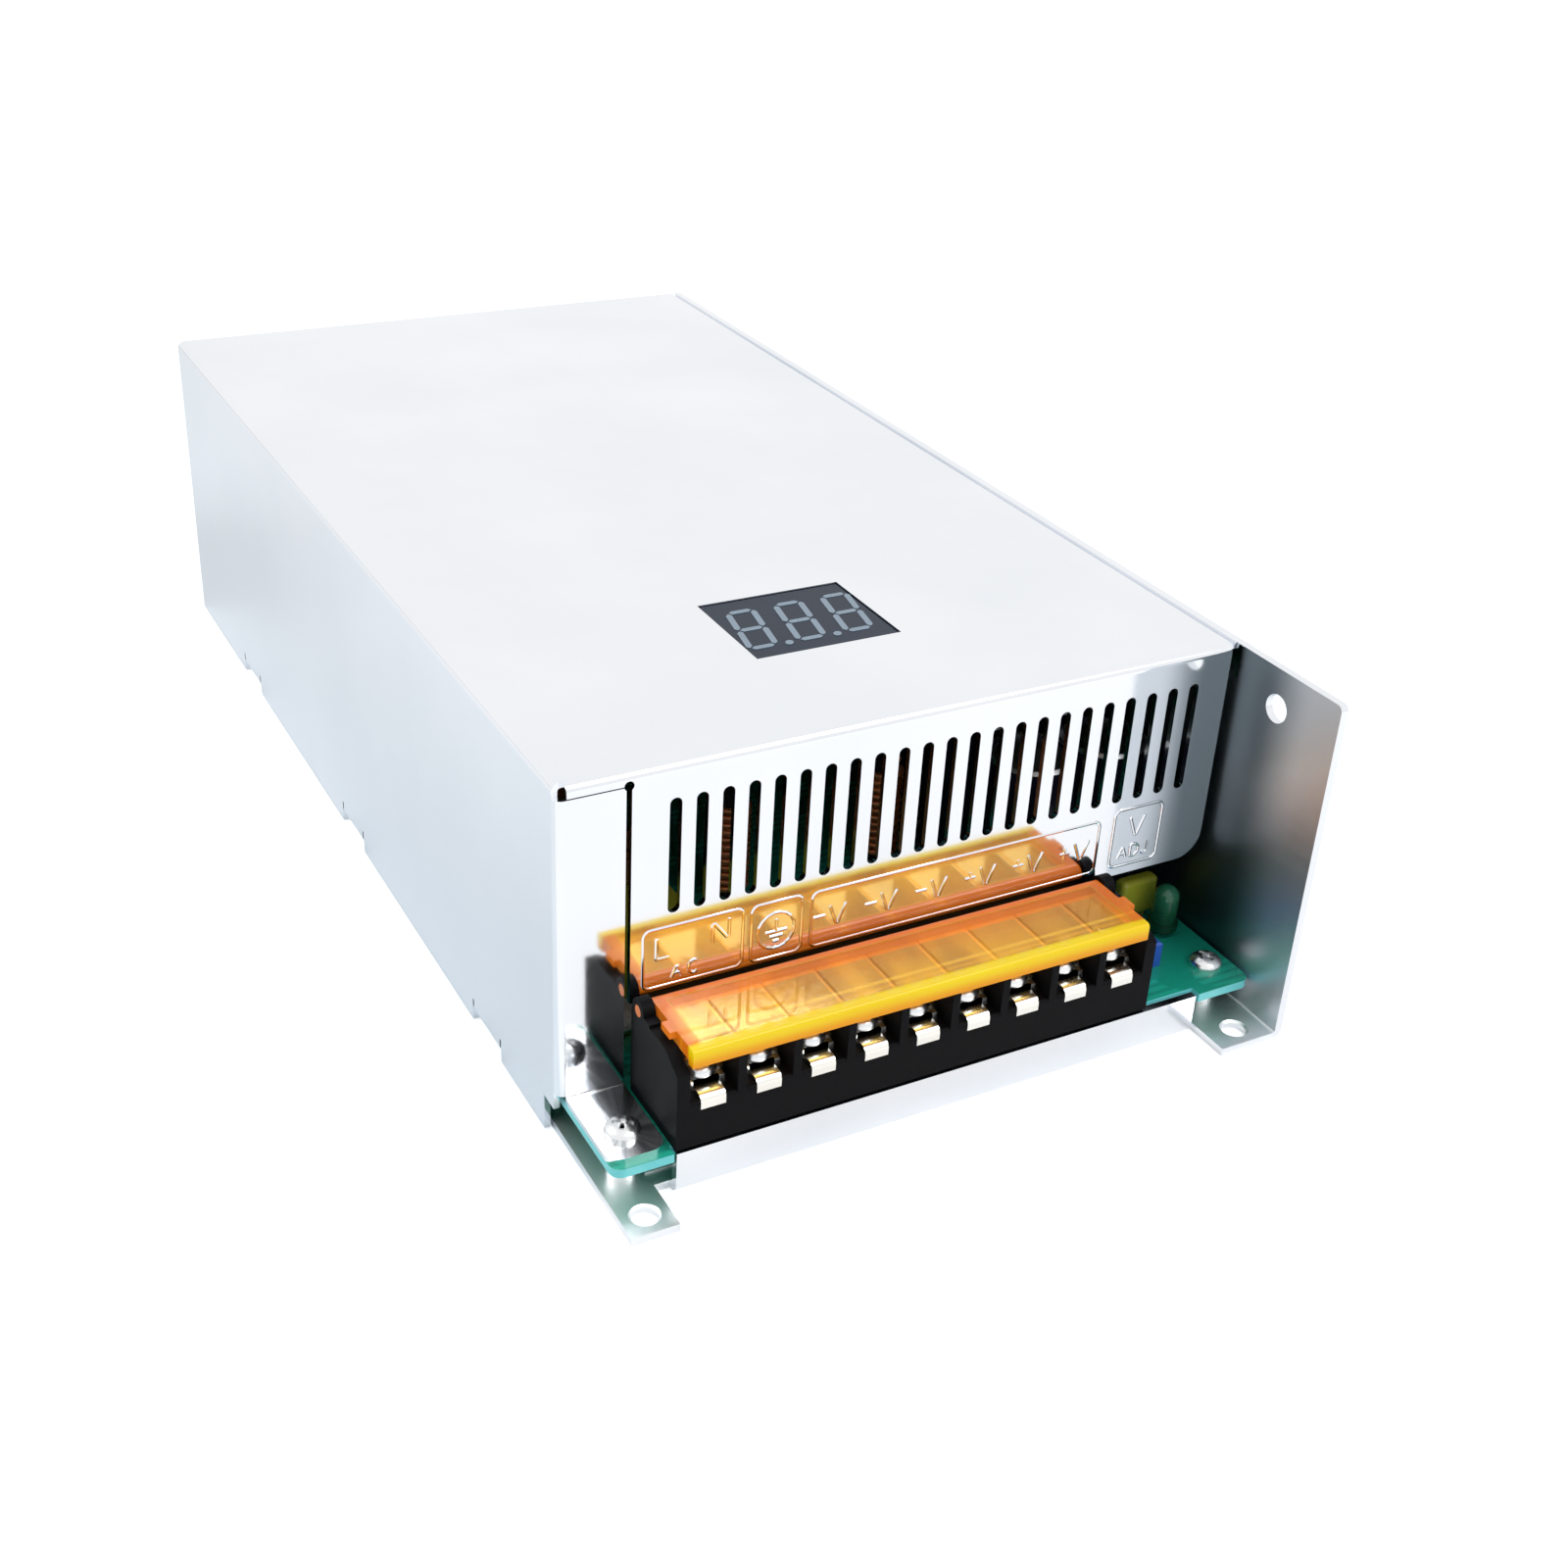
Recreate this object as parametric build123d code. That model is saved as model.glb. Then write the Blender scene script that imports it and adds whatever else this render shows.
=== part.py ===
from build123d import *
import os
from math import cos, degrees, radians, sin

# Enclosed power supply: a folded chassis and cover round a circuit board, with a nine-way terminal
# block, a hinged clear cover over it, a voltmeter window in the top and a fan in the rear wall.
# Millimetres. The origin is the middle of the footprint, on the underside.
# X runs to the right seen from the front, Y to the rear, Z up.

# Case
case_width = 125.0
case_height = 65.0
case_depth = 220.0          # louvred panel to rear wall, outside
apron_depth = 25.0          # how far the tabs and the side flange stand in front of the panel
chassis_sheet = 1.5
cover_sheet = 1.0
bend_radius = 0.5           # inside of every fold
sheet_gap = 0.3             # between the two folded sheets

x_left = -case_width / 2
x_right = case_width / 2
y_front = -(case_depth + apron_depth) / 2
y_panel = y_front + apron_depth
y_rear = y_panel + case_depth
wall_inner = x_right - chassis_sheet
cover_under = case_height - cover_sheet
chassis_fold = chassis_sheet + bend_radius
cover_fold = cover_sheet + bend_radius

# Chassis apron: two tabs with the front lip between them, and the flange hole
lip_setback = 7.5
left_tab_width = 8.0
right_tab_width = 13.0
tab_relief = 1.0
left_relief = 2.8
tab_hole_radius = 2.1
tab_hole_setback = 4.0
tab_hole_chamfer = 0.4
flange_hole_radius = 2.5
flange_hole_setback = 14.2
flange_hole_drop = 7.0
flange_corner_radius = 1.2
mounting_pitch_x = 60.0
mounting_pitch_y = 150.0
mounting_bore_radius = 1.65
nut_radius = 4.0
nut_height = 2.2
nut_shank_radius = 2.7

floor_left = x_left + cover_sheet + sheet_gap
y_lip = y_front + lip_setback
left_tab_right = floor_left + left_tab_width
lip_left = left_tab_right + left_relief
right_tab_left = x_right - right_tab_width
lip_right = right_tab_left - tab_relief
left_hole_x = (floor_left + left_tab_right) / 2
right_hole_x = (right_tab_left + wall_inner) / 2
tab_hole_y = y_front + tab_hole_setback

# Board and what it stands on
standoff_height = 5.3
standoff_radius = 2.5
standoff_shank_radius = 2.0
board_sheet = 1.6
board_side_gap = 0.6
board_front_gap = 0.3
board_rear_gap = 3.0
board_corner_radius = 2.0
board_hole_inset = 4.6
board_hole_setback = 5.0
board_ear_length = 2.0      # how far the front corners reach past the ends of the lip
board_ear_gap = 0.5
thread_radius = 1.45        # plain shank of an M3 screw
thread_bore = 1.5           # tapped bore that takes it
clearance_bore = 1.7
pan_head_radius = 2.9
pan_head_height = 2.0
board_screw_length = 6.0
countersink_radius = 2.7
lip_drop = 0.4              # top of the front lip below the top of the board

board_bottom = chassis_sheet + standoff_height
board_top = board_bottom + board_sheet
lip_top = board_top - lip_drop
board_left = x_left + cover_sheet + board_side_gap
board_right = wall_inner - board_side_gap
board_front = y_lip + chassis_sheet + board_front_gap

# Insulating sheet
film_thickness = 0.3
film_margin = 3.0
film_hole_gap = 1.0

# Cover: front strip, louvred panel and fixing flanges
strip_width = 11.1
seam_gap = 0.9
seam_relief_radius = 0.8
panel_side_gap = 1.5
panel_corner_radius = 5.0
strip_lip = 0.7             # short down-turned edge of the top above the strip
fold_seam = 0.2
corner_relief = 1.8
notch_depth = 5.4
notch_height = 6.8
foot_length = 16.6
foot_corner_radius = 2.5
side_clearance = 0.2        # lower edge of the left side above the table
slot_count = 23
slot_width = 2.0
slot_length = 20.0
slot_margin = 7.1
slot_drop = 5.8
flange_drop = 12.0
flange_end_gap = 3.0
floor_tab_width = 12.0
floor_tab_depth = 9.0
floor_tab_relief = 0.5
side_screw_drop = 6.5
side_screw_length = 5.0
floor_screw_length = 5.0
cover_screw_stations = (0.14, 0.47, 0.8)    # places along the case depth

panel_left = x_left + strip_width + seam_gap
panel_right = wall_inner - panel_side_gap
panel_width = panel_right - panel_left
slot_pitch = (panel_width - 2 * slot_margin) / (slot_count - 1)

# Terminal block
terminal_count = 9
partition_thickness = 1.4
end_wall_thickness = 2.1
block_panel_gap = 0.8
block_front_gap = 0.3
block_side_room = 21.7      # between the block and the right end of the panel
ledge_height = 8.2          # terminal shelf above the board
partition_height = 14.8
block_rear_wall = 4.4
block_fillet = 0.6

block_left = panel_left
block_right = panel_right - block_side_room
block_inside = block_right - block_left - 2 * end_wall_thickness
terminal_pitch = (block_inside + partition_thickness) / terminal_count
block_front = y_lip + block_front_gap
block_rear = y_panel - block_panel_gap
ledge_top = board_top + ledge_height
partition_top = board_top + partition_height
cavity_rear = block_rear - block_rear_wall
cavity_width = terminal_pitch - partition_thickness    # 8.1 at the usual pitch of 9.5

# Terminal tags and screws
tag_thickness = 0.8
tag_side_gap = 0.85
tag_width = cavity_width - 2 * tag_side_gap
tongue_width = tag_width * 0.66
tongue_drop = 1.6
tag_pin_width = 1.0
tag_pin_thickness = 0.8
tag_pin_reach = 1.2         # solder pin below the board
pin_clearance = 0.1
screw_setback = 5.7         # terminal screw axis behind the block's front face
terminal_screw_radius = tag_width * 0.27
terminal_screw_length = 6.0
terminal_bore_gap = 0.1
terminal_head_radius = tag_width * 0.45
terminal_head_height = 2.2
clamp_width = tag_width
clamp_depth = 6.0
clamp_thickness = 0.9
screw_well_depth = 6.5
screw_well_gap = 0.5

screw_y = block_front + screw_setback
tag_top = ledge_top + tag_thickness
clamp_top = tag_top + clamp_thickness

# Hinged terminal cover
lid_sheet = 1.2
lid_lip_depth = 3.1
lid_lip_thickness = 1.6
lid_rest_gap = 0.1
lid_front_reach = 0.3       # front face of the lid in front of the block
lid_knuckle_radius = 1.4
lid_rim_thickness = 1.2
lid_rim_depth = 2.4
lid_end_gap = 0.25
lid_rib_depth = 0.6
lid_rib_thickness = 0.6
hinge_setback = 2.2         # hinge axis in front of the block's rear face
hinge_pin_radius = 1.0
hinge_bore_radius = 1.05
ear_radius = 2.1
lug_width = 3.0
lug_height = 1.2
lug_reach = 0.9

lid_bottom = partition_top + lid_rest_gap
lid_top = lid_bottom + lid_lip_depth
lid_front = block_front - lid_front_reach
lid_left = block_left + end_wall_thickness + lid_end_gap
lid_right = block_right - end_wall_thickness - lid_end_gap
hinge_y = block_rear - hinge_setback
hinge_z = lid_top - lid_knuckle_radius

panel_overlap = 2.1         # top of the closed lid above the panel's lower edge
panel_bottom = lid_top - panel_overlap

# Trimmer and indicator lamp beside the block
trimmer_size = 6.8
trimmer_height = 4.8
trimmer_gap = 3.4
trimmer_setback = 1.0
trimmer_rotor_radius = 1.7
trimmer_bore_radius = 1.75
trimmer_rotor_depth = 2.4
trimmer_proud = 0.3
trimmer_slot_width = 0.6
trimmer_slot_depth = 0.8
lamp_radius = 2.3
lamp_flange_radius = 2.8
lamp_height = 8.6
lamp_stand = 1.2
lamp_inset = 5.4
lamp_setback = 0.9
lead_radius = 0.3

# Display in the top
window_width = 27.0
window_length = 22.0
window_x = 59.2             # centre, from the left side
window_y = 37.0             # centre, behind the panel
window_gap = 0.2
display_height = 8.0
display_recess = 0.3        # face of the display below the top
meter_board_width = 46.0
meter_board_length = 30.0
meter_board_sheet = 1.2
meter_stud_radius = 1.2
meter_stud_bore = 1.3
meter_stud_inset = 4.0
meter_nut_radius = 2.6
meter_nut_height = 2.0
meter_stud_tail = 3.0

display_x = x_left + window_x
display_y = y_panel + window_y
meter_board_top = case_height - display_height

# Fan in the rear wall
fan_margin = 1.25           # above and below the fan
fan_depth = 25.0
fan_size = case_height - cover_sheet - chassis_sheet - 2 * fan_margin
fan_wall = 1.5
fan_flange = 3.5
fan_hole_inset = 5.0
fan_hole_radius = 2.15
fan_corner_radius = 3.0
fan_hub_radius = 14.5
fan_tip_gap = 1.0
fan_blade_count = 7
fan_blade_thickness = 1.2
fan_blade_chord = 15.0
fan_root_angle = 52.0
fan_tip_angle = 34.0
fan_blade_camber = 1.6
fan_strut_width = 3.0
fan_strut_count = 4
fan_shaft_radius = 1.5
fan_bearing_bore = 1.55
fan_bearing_radius = 3.5
fan_cup_wall = 1.5
fan_base_thickness = 2.5
fan_running_gap = 0.8
fan_end_gap = 0.1           # shaft end to the frame
fan_screw_length = 12.0
fan_screw_radius = 2.0
grille_ring_radii = (8.5, 14.0, 19.5, 25.0)
grille_slot_width = 3.4
grille_spoke_width = 3.4

fan_x = (x_left + x_right) / 2
fan_z = chassis_sheet + fan_margin + fan_size / 2
fan_rear = y_rear - chassis_sheet
fan_front = fan_rear - fan_depth
fan_hole_offset = fan_size / 2 - fan_hole_inset
rear_wall_top = cover_under - sheet_gap

board_rear = fan_front - board_rear_gap

# Parts on the board. Widths and radii follow the width of the case and heights follow its height,
# so that a smaller case takes smaller parts; stations are shares of the case depth.
free_height = cover_under - board_top
can_rim = 0.6
lead_reach = 1.2            # how far a lead runs into its part
winding_build = 1.4
winding_margin = 20.0       # bare angle at each end of a ring winding

fuse_radius = 2.6
fuse_length = 20.0
fuse_x = 0.152 * case_width
thermistor_radius = 7.0
thermistor_thickness = 4.0
thermistor_x = 0.344 * case_width
film_box = (26.0, 10.0, 16.0)
film_box_x = 0.152 * case_width
line_choke_radius = 0.12 * case_width
line_choke_bore = 0.068 * case_width
line_choke_height = 0.2 * free_height
line_choke_x = 0.168 * case_width
bridge_box = (22.0, 4.6, 18.0)
bridge_x = 0.136 * case_width
bulk_can_radius = 0.12 * case_width
bulk_can_height = 0.83 * free_height
bulk_can_xs = (0.152 * case_width, 0.408 * case_width)
storage_choke_radius = 0.176 * case_width
storage_choke_bore = 0.096 * case_width
storage_choke_height = 0.34 * free_height
storage_choke_x = 0.28 * case_width
control_board_box = (44.0, 1.2, 0.4 * free_height)
control_board_x = 0.248 * case_width

rod_choke_radius = 4.2
rod_choke_core_radius = 2.8
rod_choke_height = 0.387 * free_height
rod_choke_turns = 12
rod_choke_xs = (0.4136 * case_width, 0.668 * case_width)
rod_choke_station = 0.2045
output_can_radius = 0.064 * case_width
output_can_height = 0.567 * free_height
output_can_gap = 2.0        # between rows
output_can_rows = 3
output_can_front = 12.0     # first row behind the panel
output_can_wall_gap = 1.5
transformer_core_box = (0.336 * case_width, 0.25 * case_depth, 0.378 * free_height)
transformer_x = 0.704 * case_width
transformer_station = 0.5545
transformer_stand = 0.216 * free_height
drive_box = (16.0, 13.0, 14.0)
drive_x = 0.56 * case_width
drive_gap = 6.0             # behind the transformer
corner_film_box = (8.0, 3.0, 7.5)
corner_film_inset = 7.5
corner_film_setback = 7.0
package_box = (4.8, 15.6, 20.0)
package_stations = (0.4, 0.491, 0.582, 0.673)
package_lift = 6.0
package_leg = 1.0
package_leg_pitch = 5.4
clamp_bar_depth = 6.0
clamp_bar_height = 9.0
clamp_bar_overhang = 6.0
clamp_screw_length = 9.0


def spread_rows(depths, start, end):
    """Middles of rows of the given depths, with equal gaps between start and end."""
    gap = (end - start - sum(depths)) / (len(depths) + 1)
    middles = []
    edge = start
    for depth in depths:
        middles.append(edge + gap + depth / 2)
        edge += gap + depth
    return middles


# Rows down the left half of the board, from the panel to the fan
fuse_y, film_box_y, line_choke_y, bridge_y, bulk_can_y, storage_choke_y, control_board_y = (
    spread_rows([2 * fuse_radius, film_box[1], 2 * (line_choke_radius + winding_build),
                 bridge_box[1], 2 * bulk_can_radius, 2 * (storage_choke_radius + winding_build),
                 control_board_box[1]],
                y_panel + cover_sheet, board_rear))
transformer_y = y_panel + transformer_station * case_depth
drive_y = transformer_y + transformer_core_box[1] / 2 + drive_gap + drive_box[1] / 2
rod_choke_y = y_panel + rod_choke_station * case_depth


def block_between(x0, x1, y0, y1, z0, z1):
    """Rectangular block between pairs of planes."""
    return Pos((x0 + x1) / 2, (y0 + y1) / 2, (z0 + z1) / 2) * Box(x1 - x0, y1 - y0, z1 - z0)


def along_x(section, start, end):
    """Extrude a (Y, Z) section from X = start to X = end."""
    return extrude(Plane.YZ.offset(start) * section, end - start)


def along_y(section, start, end):
    """Extrude an (X, Z) section from Y = start to Y = end."""
    return extrude(Plane.XZ.offset(-start) * section, start - end)


def along_z(section, start, end):
    """Extrude an (X, Y) section from Z = start to Z = end."""
    return extrude(Plane.XY.offset(start) * section, end - start)


def post(x, y, z0, z1, radius):
    """Upright round bar."""
    return Pos(x, y, (z0 + z1) / 2) * Cylinder(radius, z1 - z0)


def facing(part, position, outward):
    """Place a part made about the origin, its +Z turned to point outward."""
    return Plane(origin=position, z_dir=outward) * part


def group(pieces):
    """Several separate solids in one node."""
    return Compound(children=list(pieces))


def folded_section(path, thickness, side):
    """Section of a folded sheet. One skin follows the path; the sheet lies on its left (side = 1)
    or on its right (side = -1). The inside of every fold has the bend radius."""
    points = [Vector(*p) for p in path]
    runs = [(b - a).normalized() for a, b in zip(points, points[1:])]
    normals = [Vector(-r.Y, r.X) * side for r in runs]
    shifted = [points[0] + normals[0] * thickness]
    for point, before, after in zip(points[1:], normals, normals[1:]):
        shifted.append(point + (before + after) * (thickness / (1 + before.dot(after))))
    shifted.append(points[-1] + normals[-1] * thickness)
    section = make_face(Polyline(*points, *reversed(shifted), close=True))
    for skin, back, before, after in zip(points[1:-1], shifted[1:-1], runs, runs[1:]):
        turns_to_sheet = (before.X * after.Y - before.Y * after.X) * side > 0
        inner, outer = (back, skin) if turns_to_sheet else (skin, back)
        for corner, radius in ((inner, bend_radius), (outer, bend_radius + thickness)):
            section = fillet(section.vertices().sort_by_distance(corner)[0], radius)
    return section


def pan_screw(length):
    """Pan head screw standing on the origin, its shank going down."""
    head = Pos(0, 0, pan_head_height / 2) * Cylinder(pan_head_radius, pan_head_height)
    head = fillet(head.edges().sort_by(Axis.Z)[-1], pan_head_height * 0.6)
    return head + Pos(0, 0, -length / 2) * Cylinder(thread_radius, length)


def flush_screw(length, shank=thread_radius, head=countersink_radius):
    """Countersunk screw, its flat head level with the origin, its shank going down."""
    depth = head - shank
    cone = Pos(0, 0, -depth / 2) * Cone(shank, head, depth)
    return cone + Pos(0, 0, -length / 2) * Cylinder(shank, length)


def flush_hole(depth, bore=clearance_bore, head=countersink_radius):
    """Cutter for a countersunk hole that the head fills."""
    cone_depth = head + pin_clearance - bore
    cone = Pos(0, 0, -cone_depth / 2) * Cone(bore, head + pin_clearance, cone_depth)
    return cone + Pos(0, 0, -depth / 2) * Cylinder(bore, depth)


def stations():
    """Places along the case of the screws that hold the cover."""
    return [y_panel + case_depth * share for share in cover_screw_stations]


def floor_screw_places():
    x = x_left + cover_sheet + floor_tab_depth / 2 + bend_radius
    return [(x, y, 0) for y in stations()]


def side_screw_places():
    return [(x_right, y, case_height - side_screw_drop) for y in stations()]


def package_ys():
    return [y_panel + station * case_depth for station in package_stations]


def clamp_screw_places():
    """Between the first two packages, and between the last two."""
    z = board_top + package_lift + package_box[2] / 2
    first, second, third, fourth = package_ys()
    return [(x_right, (first + second) / 2, z), (x_right, (third + fourth) / 2, z)]


def mounting_places():
    middle = (y_panel + y_rear) / 2
    return [(sx * mounting_pitch_x / 2, middle + sy * mounting_pitch_y / 2)
            for sx in (-1, 1) for sy in (-1, 1)]


def board_hole_places():
    """Standoffs: the four corners of the board, and two between the parts."""
    left = board_left + board_hole_inset
    right = board_right - board_hole_inset
    front = board_front + board_hole_setback
    rear = board_rear - board_hole_setback
    cans_rear = y_panel + output_can_front + output_can_rows * (2 * output_can_radius
                                                                + output_can_gap)
    transformer_front = transformer_y - transformer_core_box[1] / 2
    middle_right = (transformer_x + x_left + wall_inner) / 2
    return [(left, front), (right, front), (left, rear), (right, rear),
            (left, (bulk_can_y + storage_choke_y) / 2),
            (middle_right, (cans_rear + transformer_front) / 2)]


def fan_hole_places():
    return [(fan_x + sx * fan_hole_offset, fan_z + sz * fan_hole_offset)
            for sx in (-1, 1) for sz in (-1, 1)]


def terminal_xs():
    first = block_left + end_wall_thickness + cavity_width / 2
    return [first + terminal_pitch * k for k in range(terminal_count)]


def pin_places():
    """Solder pins of the terminal tags, behind the screws."""
    y = cavity_rear + block_rear_wall / 2
    return [(x, y) for x in terminal_xs()]


def grille_cutter():
    """Air slots pressed in the rear wall: rings of four rounded arcs between four spokes."""
    slots = Sketch()
    for radius in grille_ring_radii:
        blocked = degrees((grille_spoke_width + grille_slot_width) / radius)
        for quarter in range(4):
            arc = CenterArc((0, 0), radius, 45 + 90 * quarter + blocked / 2, 90 - blocked)
            slots += SlotArc(arc, grille_slot_width)
    slots += Circle(grille_slot_width / 2)
    return along_y(Pos(fan_x, fan_z) * slots, y_rear - 2 * chassis_sheet, y_rear + chassis_sheet)


def make_chassis():
    """Floor, right wall and rear wall folded from one sheet, with the lip and tabs in front."""
    wall_path = [(floor_left, 0), (x_right, 0), (x_right, case_height)]
    body = along_y(folded_section(wall_path, chassis_sheet, 1), y_front, y_rear)
    corner = body.edges().filter_by(Axis.X).group_by(Axis.Z)[-1].sort_by(Axis.Y)[0]
    body = fillet(corner, flange_corner_radius)

    rear_right = x_right - chassis_fold - tab_relief
    body -= block_between(floor_left, rear_right + tab_relief, y_rear - chassis_fold, y_rear,
                          0, chassis_sheet)
    rear_path = [(y_rear - chassis_fold, 0), (y_rear, 0), (y_rear, rear_wall_top)]
    body += along_x(folded_section(rear_path, chassis_sheet, 1), floor_left, rear_right)

    body -= block_between(left_tab_right, right_tab_left, y_front, y_lip + chassis_fold,
                          0, chassis_sheet)
    lip_path = [(y_lip + chassis_fold, 0), (y_lip, 0), (y_lip, lip_top)]
    body += along_x(folded_section(lip_path, chassis_sheet, -1), lip_left, lip_right)

    for x in (left_hole_x, right_hole_x):
        body -= post(x, tab_hole_y, 0, chassis_sheet, tab_hole_radius)
        rim = Cone(tab_hole_radius, tab_hole_radius + tab_hole_chamfer, tab_hole_chamfer)
        body -= Pos(x, tab_hole_y, chassis_sheet - tab_hole_chamfer / 2) * rim
    flange_hole = Cylinder(flange_hole_radius, 3 * chassis_sheet)
    body -= facing(flange_hole, (x_right, y_front + flange_hole_setback,
                                 case_height - flange_hole_drop), (1, 0, 0))

    for x, y in mounting_places():
        body -= post(x, y, 0, chassis_sheet, nut_shank_radius)
    for x, y in board_hole_places():
        body -= post(x, y, 0, chassis_sheet, standoff_shank_radius)
    for place in floor_screw_places():
        body -= facing(flush_hole(2 * chassis_sheet), place, (0, 0, -1))
    for place in side_screw_places() + clamp_screw_places():
        body -= facing(flush_hole(2 * chassis_sheet), place, (1, 0, 0))
    for x, z in fan_hole_places():
        cutter = flush_hole(2 * chassis_sheet, bore=fan_screw_radius + pin_clearance,
                            head=fan_screw_radius + chassis_sheet * 0.8)
        body -= facing(cutter, (x, y_rear, z), (0, 1, 0))
    return body - grille_cutter()


def make_mounting_nuts():
    """Flanged nuts pressed into the floor, their bores open from below."""
    nut = Cylinder(nut_radius, nut_height, align=(Align.CENTER, Align.CENTER, Align.MIN))
    nut += Cylinder(nut_shank_radius, chassis_sheet, align=(Align.CENTER, Align.CENTER, Align.MAX))
    nut -= Cylinder(mounting_bore_radius, 4 * nut_height)
    return group(Pos(x, y, chassis_sheet) * nut for x, y in mounting_places())


def make_board_standoffs():
    """Round standoffs swaged into the floor, tapped for the board screws."""
    pieces = []
    for x, y in board_hole_places():
        stand = post(x, y, chassis_sheet, board_bottom, standoff_radius)
        stand += post(x, y, 0, chassis_sheet, standoff_shank_radius)
        pieces.append(stand - post(x, y, 0, board_bottom, thread_bore))
    return group(pieces)


def make_insulating_sheet():
    """Thin sheet on the floor, cut clear of the standoffs and nuts."""
    sheet = block_between(board_left + film_margin, board_right - film_margin,
                          board_front + film_margin, board_rear - film_margin,
                          chassis_sheet, chassis_sheet + film_thickness)
    for x, y in board_hole_places():
        sheet -= post(x, y, 0, board_bottom, standoff_radius + film_hole_gap)
    for x, y in mounting_places():
        sheet -= post(x, y, 0, board_bottom, nut_radius + film_hole_gap)
    for x, y, z in floor_screw_places():
        half = floor_tab_width / 2 + film_hole_gap
        sheet -= block_between(x_left, x_left + cover_sheet + floor_tab_depth + film_hole_gap,
                               y - half, y + half, 0, board_bottom)
    return sheet


def make_circuit_board():
    """Green board: rounded ears past the ends of the lip, holes for screws and terminal pins."""
    ear_front = board_front - board_ear_length
    left_ear = lip_left - board_ear_gap
    right_ear = lip_right + board_ear_gap
    corners = [(board_left, board_rear), (board_left, ear_front), (board_right, ear_front),
               (board_right, board_rear)]
    outline = make_face(Polyline(corners[0], corners[1], (left_ear, ear_front),
                                 (left_ear, board_front), (right_ear, board_front),
                                 (right_ear, ear_front), corners[2], corners[3], close=True))
    for corner in corners:
        outline = fillet(outline.vertices().sort_by_distance(corner)[0], board_corner_radius)
    board = along_z(outline, board_bottom, board_top)
    for x, y in board_hole_places():
        board -= post(x, y, board_bottom, board_top, clearance_bore)
    for x, y in pin_places():
        half_width = tag_pin_width / 2 + pin_clearance
        half_thickness = tag_pin_thickness / 2 + pin_clearance
        board -= block_between(x - half_width, x + half_width, y - half_thickness,
                               y + half_thickness, board_bottom, board_top)
    return board


def make_board_screws():
    """Pan head screws: the front left one also holds the foot of the cover."""
    pieces = []
    for index, (x, y) in enumerate(board_hole_places()):
        seat = board_top + (cover_sheet if index == 0 else 0)
        pieces.append(Pos(x, y, seat) * pan_screw(board_screw_length))
    return group(pieces)


def louvre_cutter():
    """Row of upright slots with round ends across the front panel."""
    centre_z = case_height - slot_drop - slot_length / 2
    slots = Sketch()
    for k in range(slot_count):
        x = panel_left + slot_margin + slot_pitch * k
        slots += Pos(x, centre_z) * Rot(0, 0, 90) * SlotOverall(slot_length, slot_width)
    return along_y(slots, y_panel - cover_sheet, y_panel + 2 * cover_sheet)


def make_front_panel():
    """Panel folded down from the top, its lower right corner rounded."""
    path = [(y_panel + cover_fold, case_height), (y_panel, case_height), (y_panel, panel_bottom)]
    panel = along_x(folded_section(path, cover_sheet, 1), panel_left, panel_right)
    corner = panel.edges().filter_by(Axis.Y).group_by(Axis.Z)[0].sort_by(Axis.X)[-1]
    return fillet(corner, panel_corner_radius) - louvre_cutter()


def make_strip():
    """Narrow strip folded in from the left side, ending in a foot that lies on the board."""
    strip_top = case_height - cover_fold - strip_lip - fold_seam
    strip_right = x_left + strip_width
    path = [(x_left, y_panel + cover_fold), (x_left, y_panel), (strip_right, y_panel)]
    strip = along_z(folded_section(path, cover_sheet, 1), board_top + cover_fold, strip_top)
    foot_path = [(y_panel, board_top + 2 * cover_fold), (y_panel, board_top + cover_sheet),
                 (y_panel - foot_length, board_top + cover_sheet)]
    foot_left = x_left + cover_fold
    foot = along_x(folded_section(foot_path, cover_sheet, 1), foot_left, strip_right)
    front = foot.edges().filter_by(Axis.Z).group_by(Axis.Y)[0]
    foot = fillet(front, foot_corner_radius)
    strip -= block_between(foot_left, strip_right, y_panel, y_panel + cover_sheet,
                           board_top, board_top + 2 * cover_fold)
    top_path = [(y_panel + cover_fold, case_height), (y_panel, case_height),
                (y_panel, case_height - cover_fold - strip_lip)]
    top_edge = along_x(folded_section(top_path, cover_sheet, 1), x_left + corner_relief, panel_left)
    seam = block_between(strip_right, panel_left, y_panel - cover_sheet, y_panel + cover_sheet,
                         0, case_height - cover_fold)
    return strip + foot + top_edge - seam


def make_floor_tab(y):
    """Tab bent in from the lower edge of the left side, lying on the floor."""
    rise = chassis_sheet + 2 * cover_fold
    path = [(x_left, rise), (x_left, chassis_sheet), (x_left + cover_sheet + floor_tab_depth,
                                                      chassis_sheet)]
    half = floor_tab_width / 2
    return along_y(folded_section(path, cover_sheet, 1), y - half, y + half)


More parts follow.
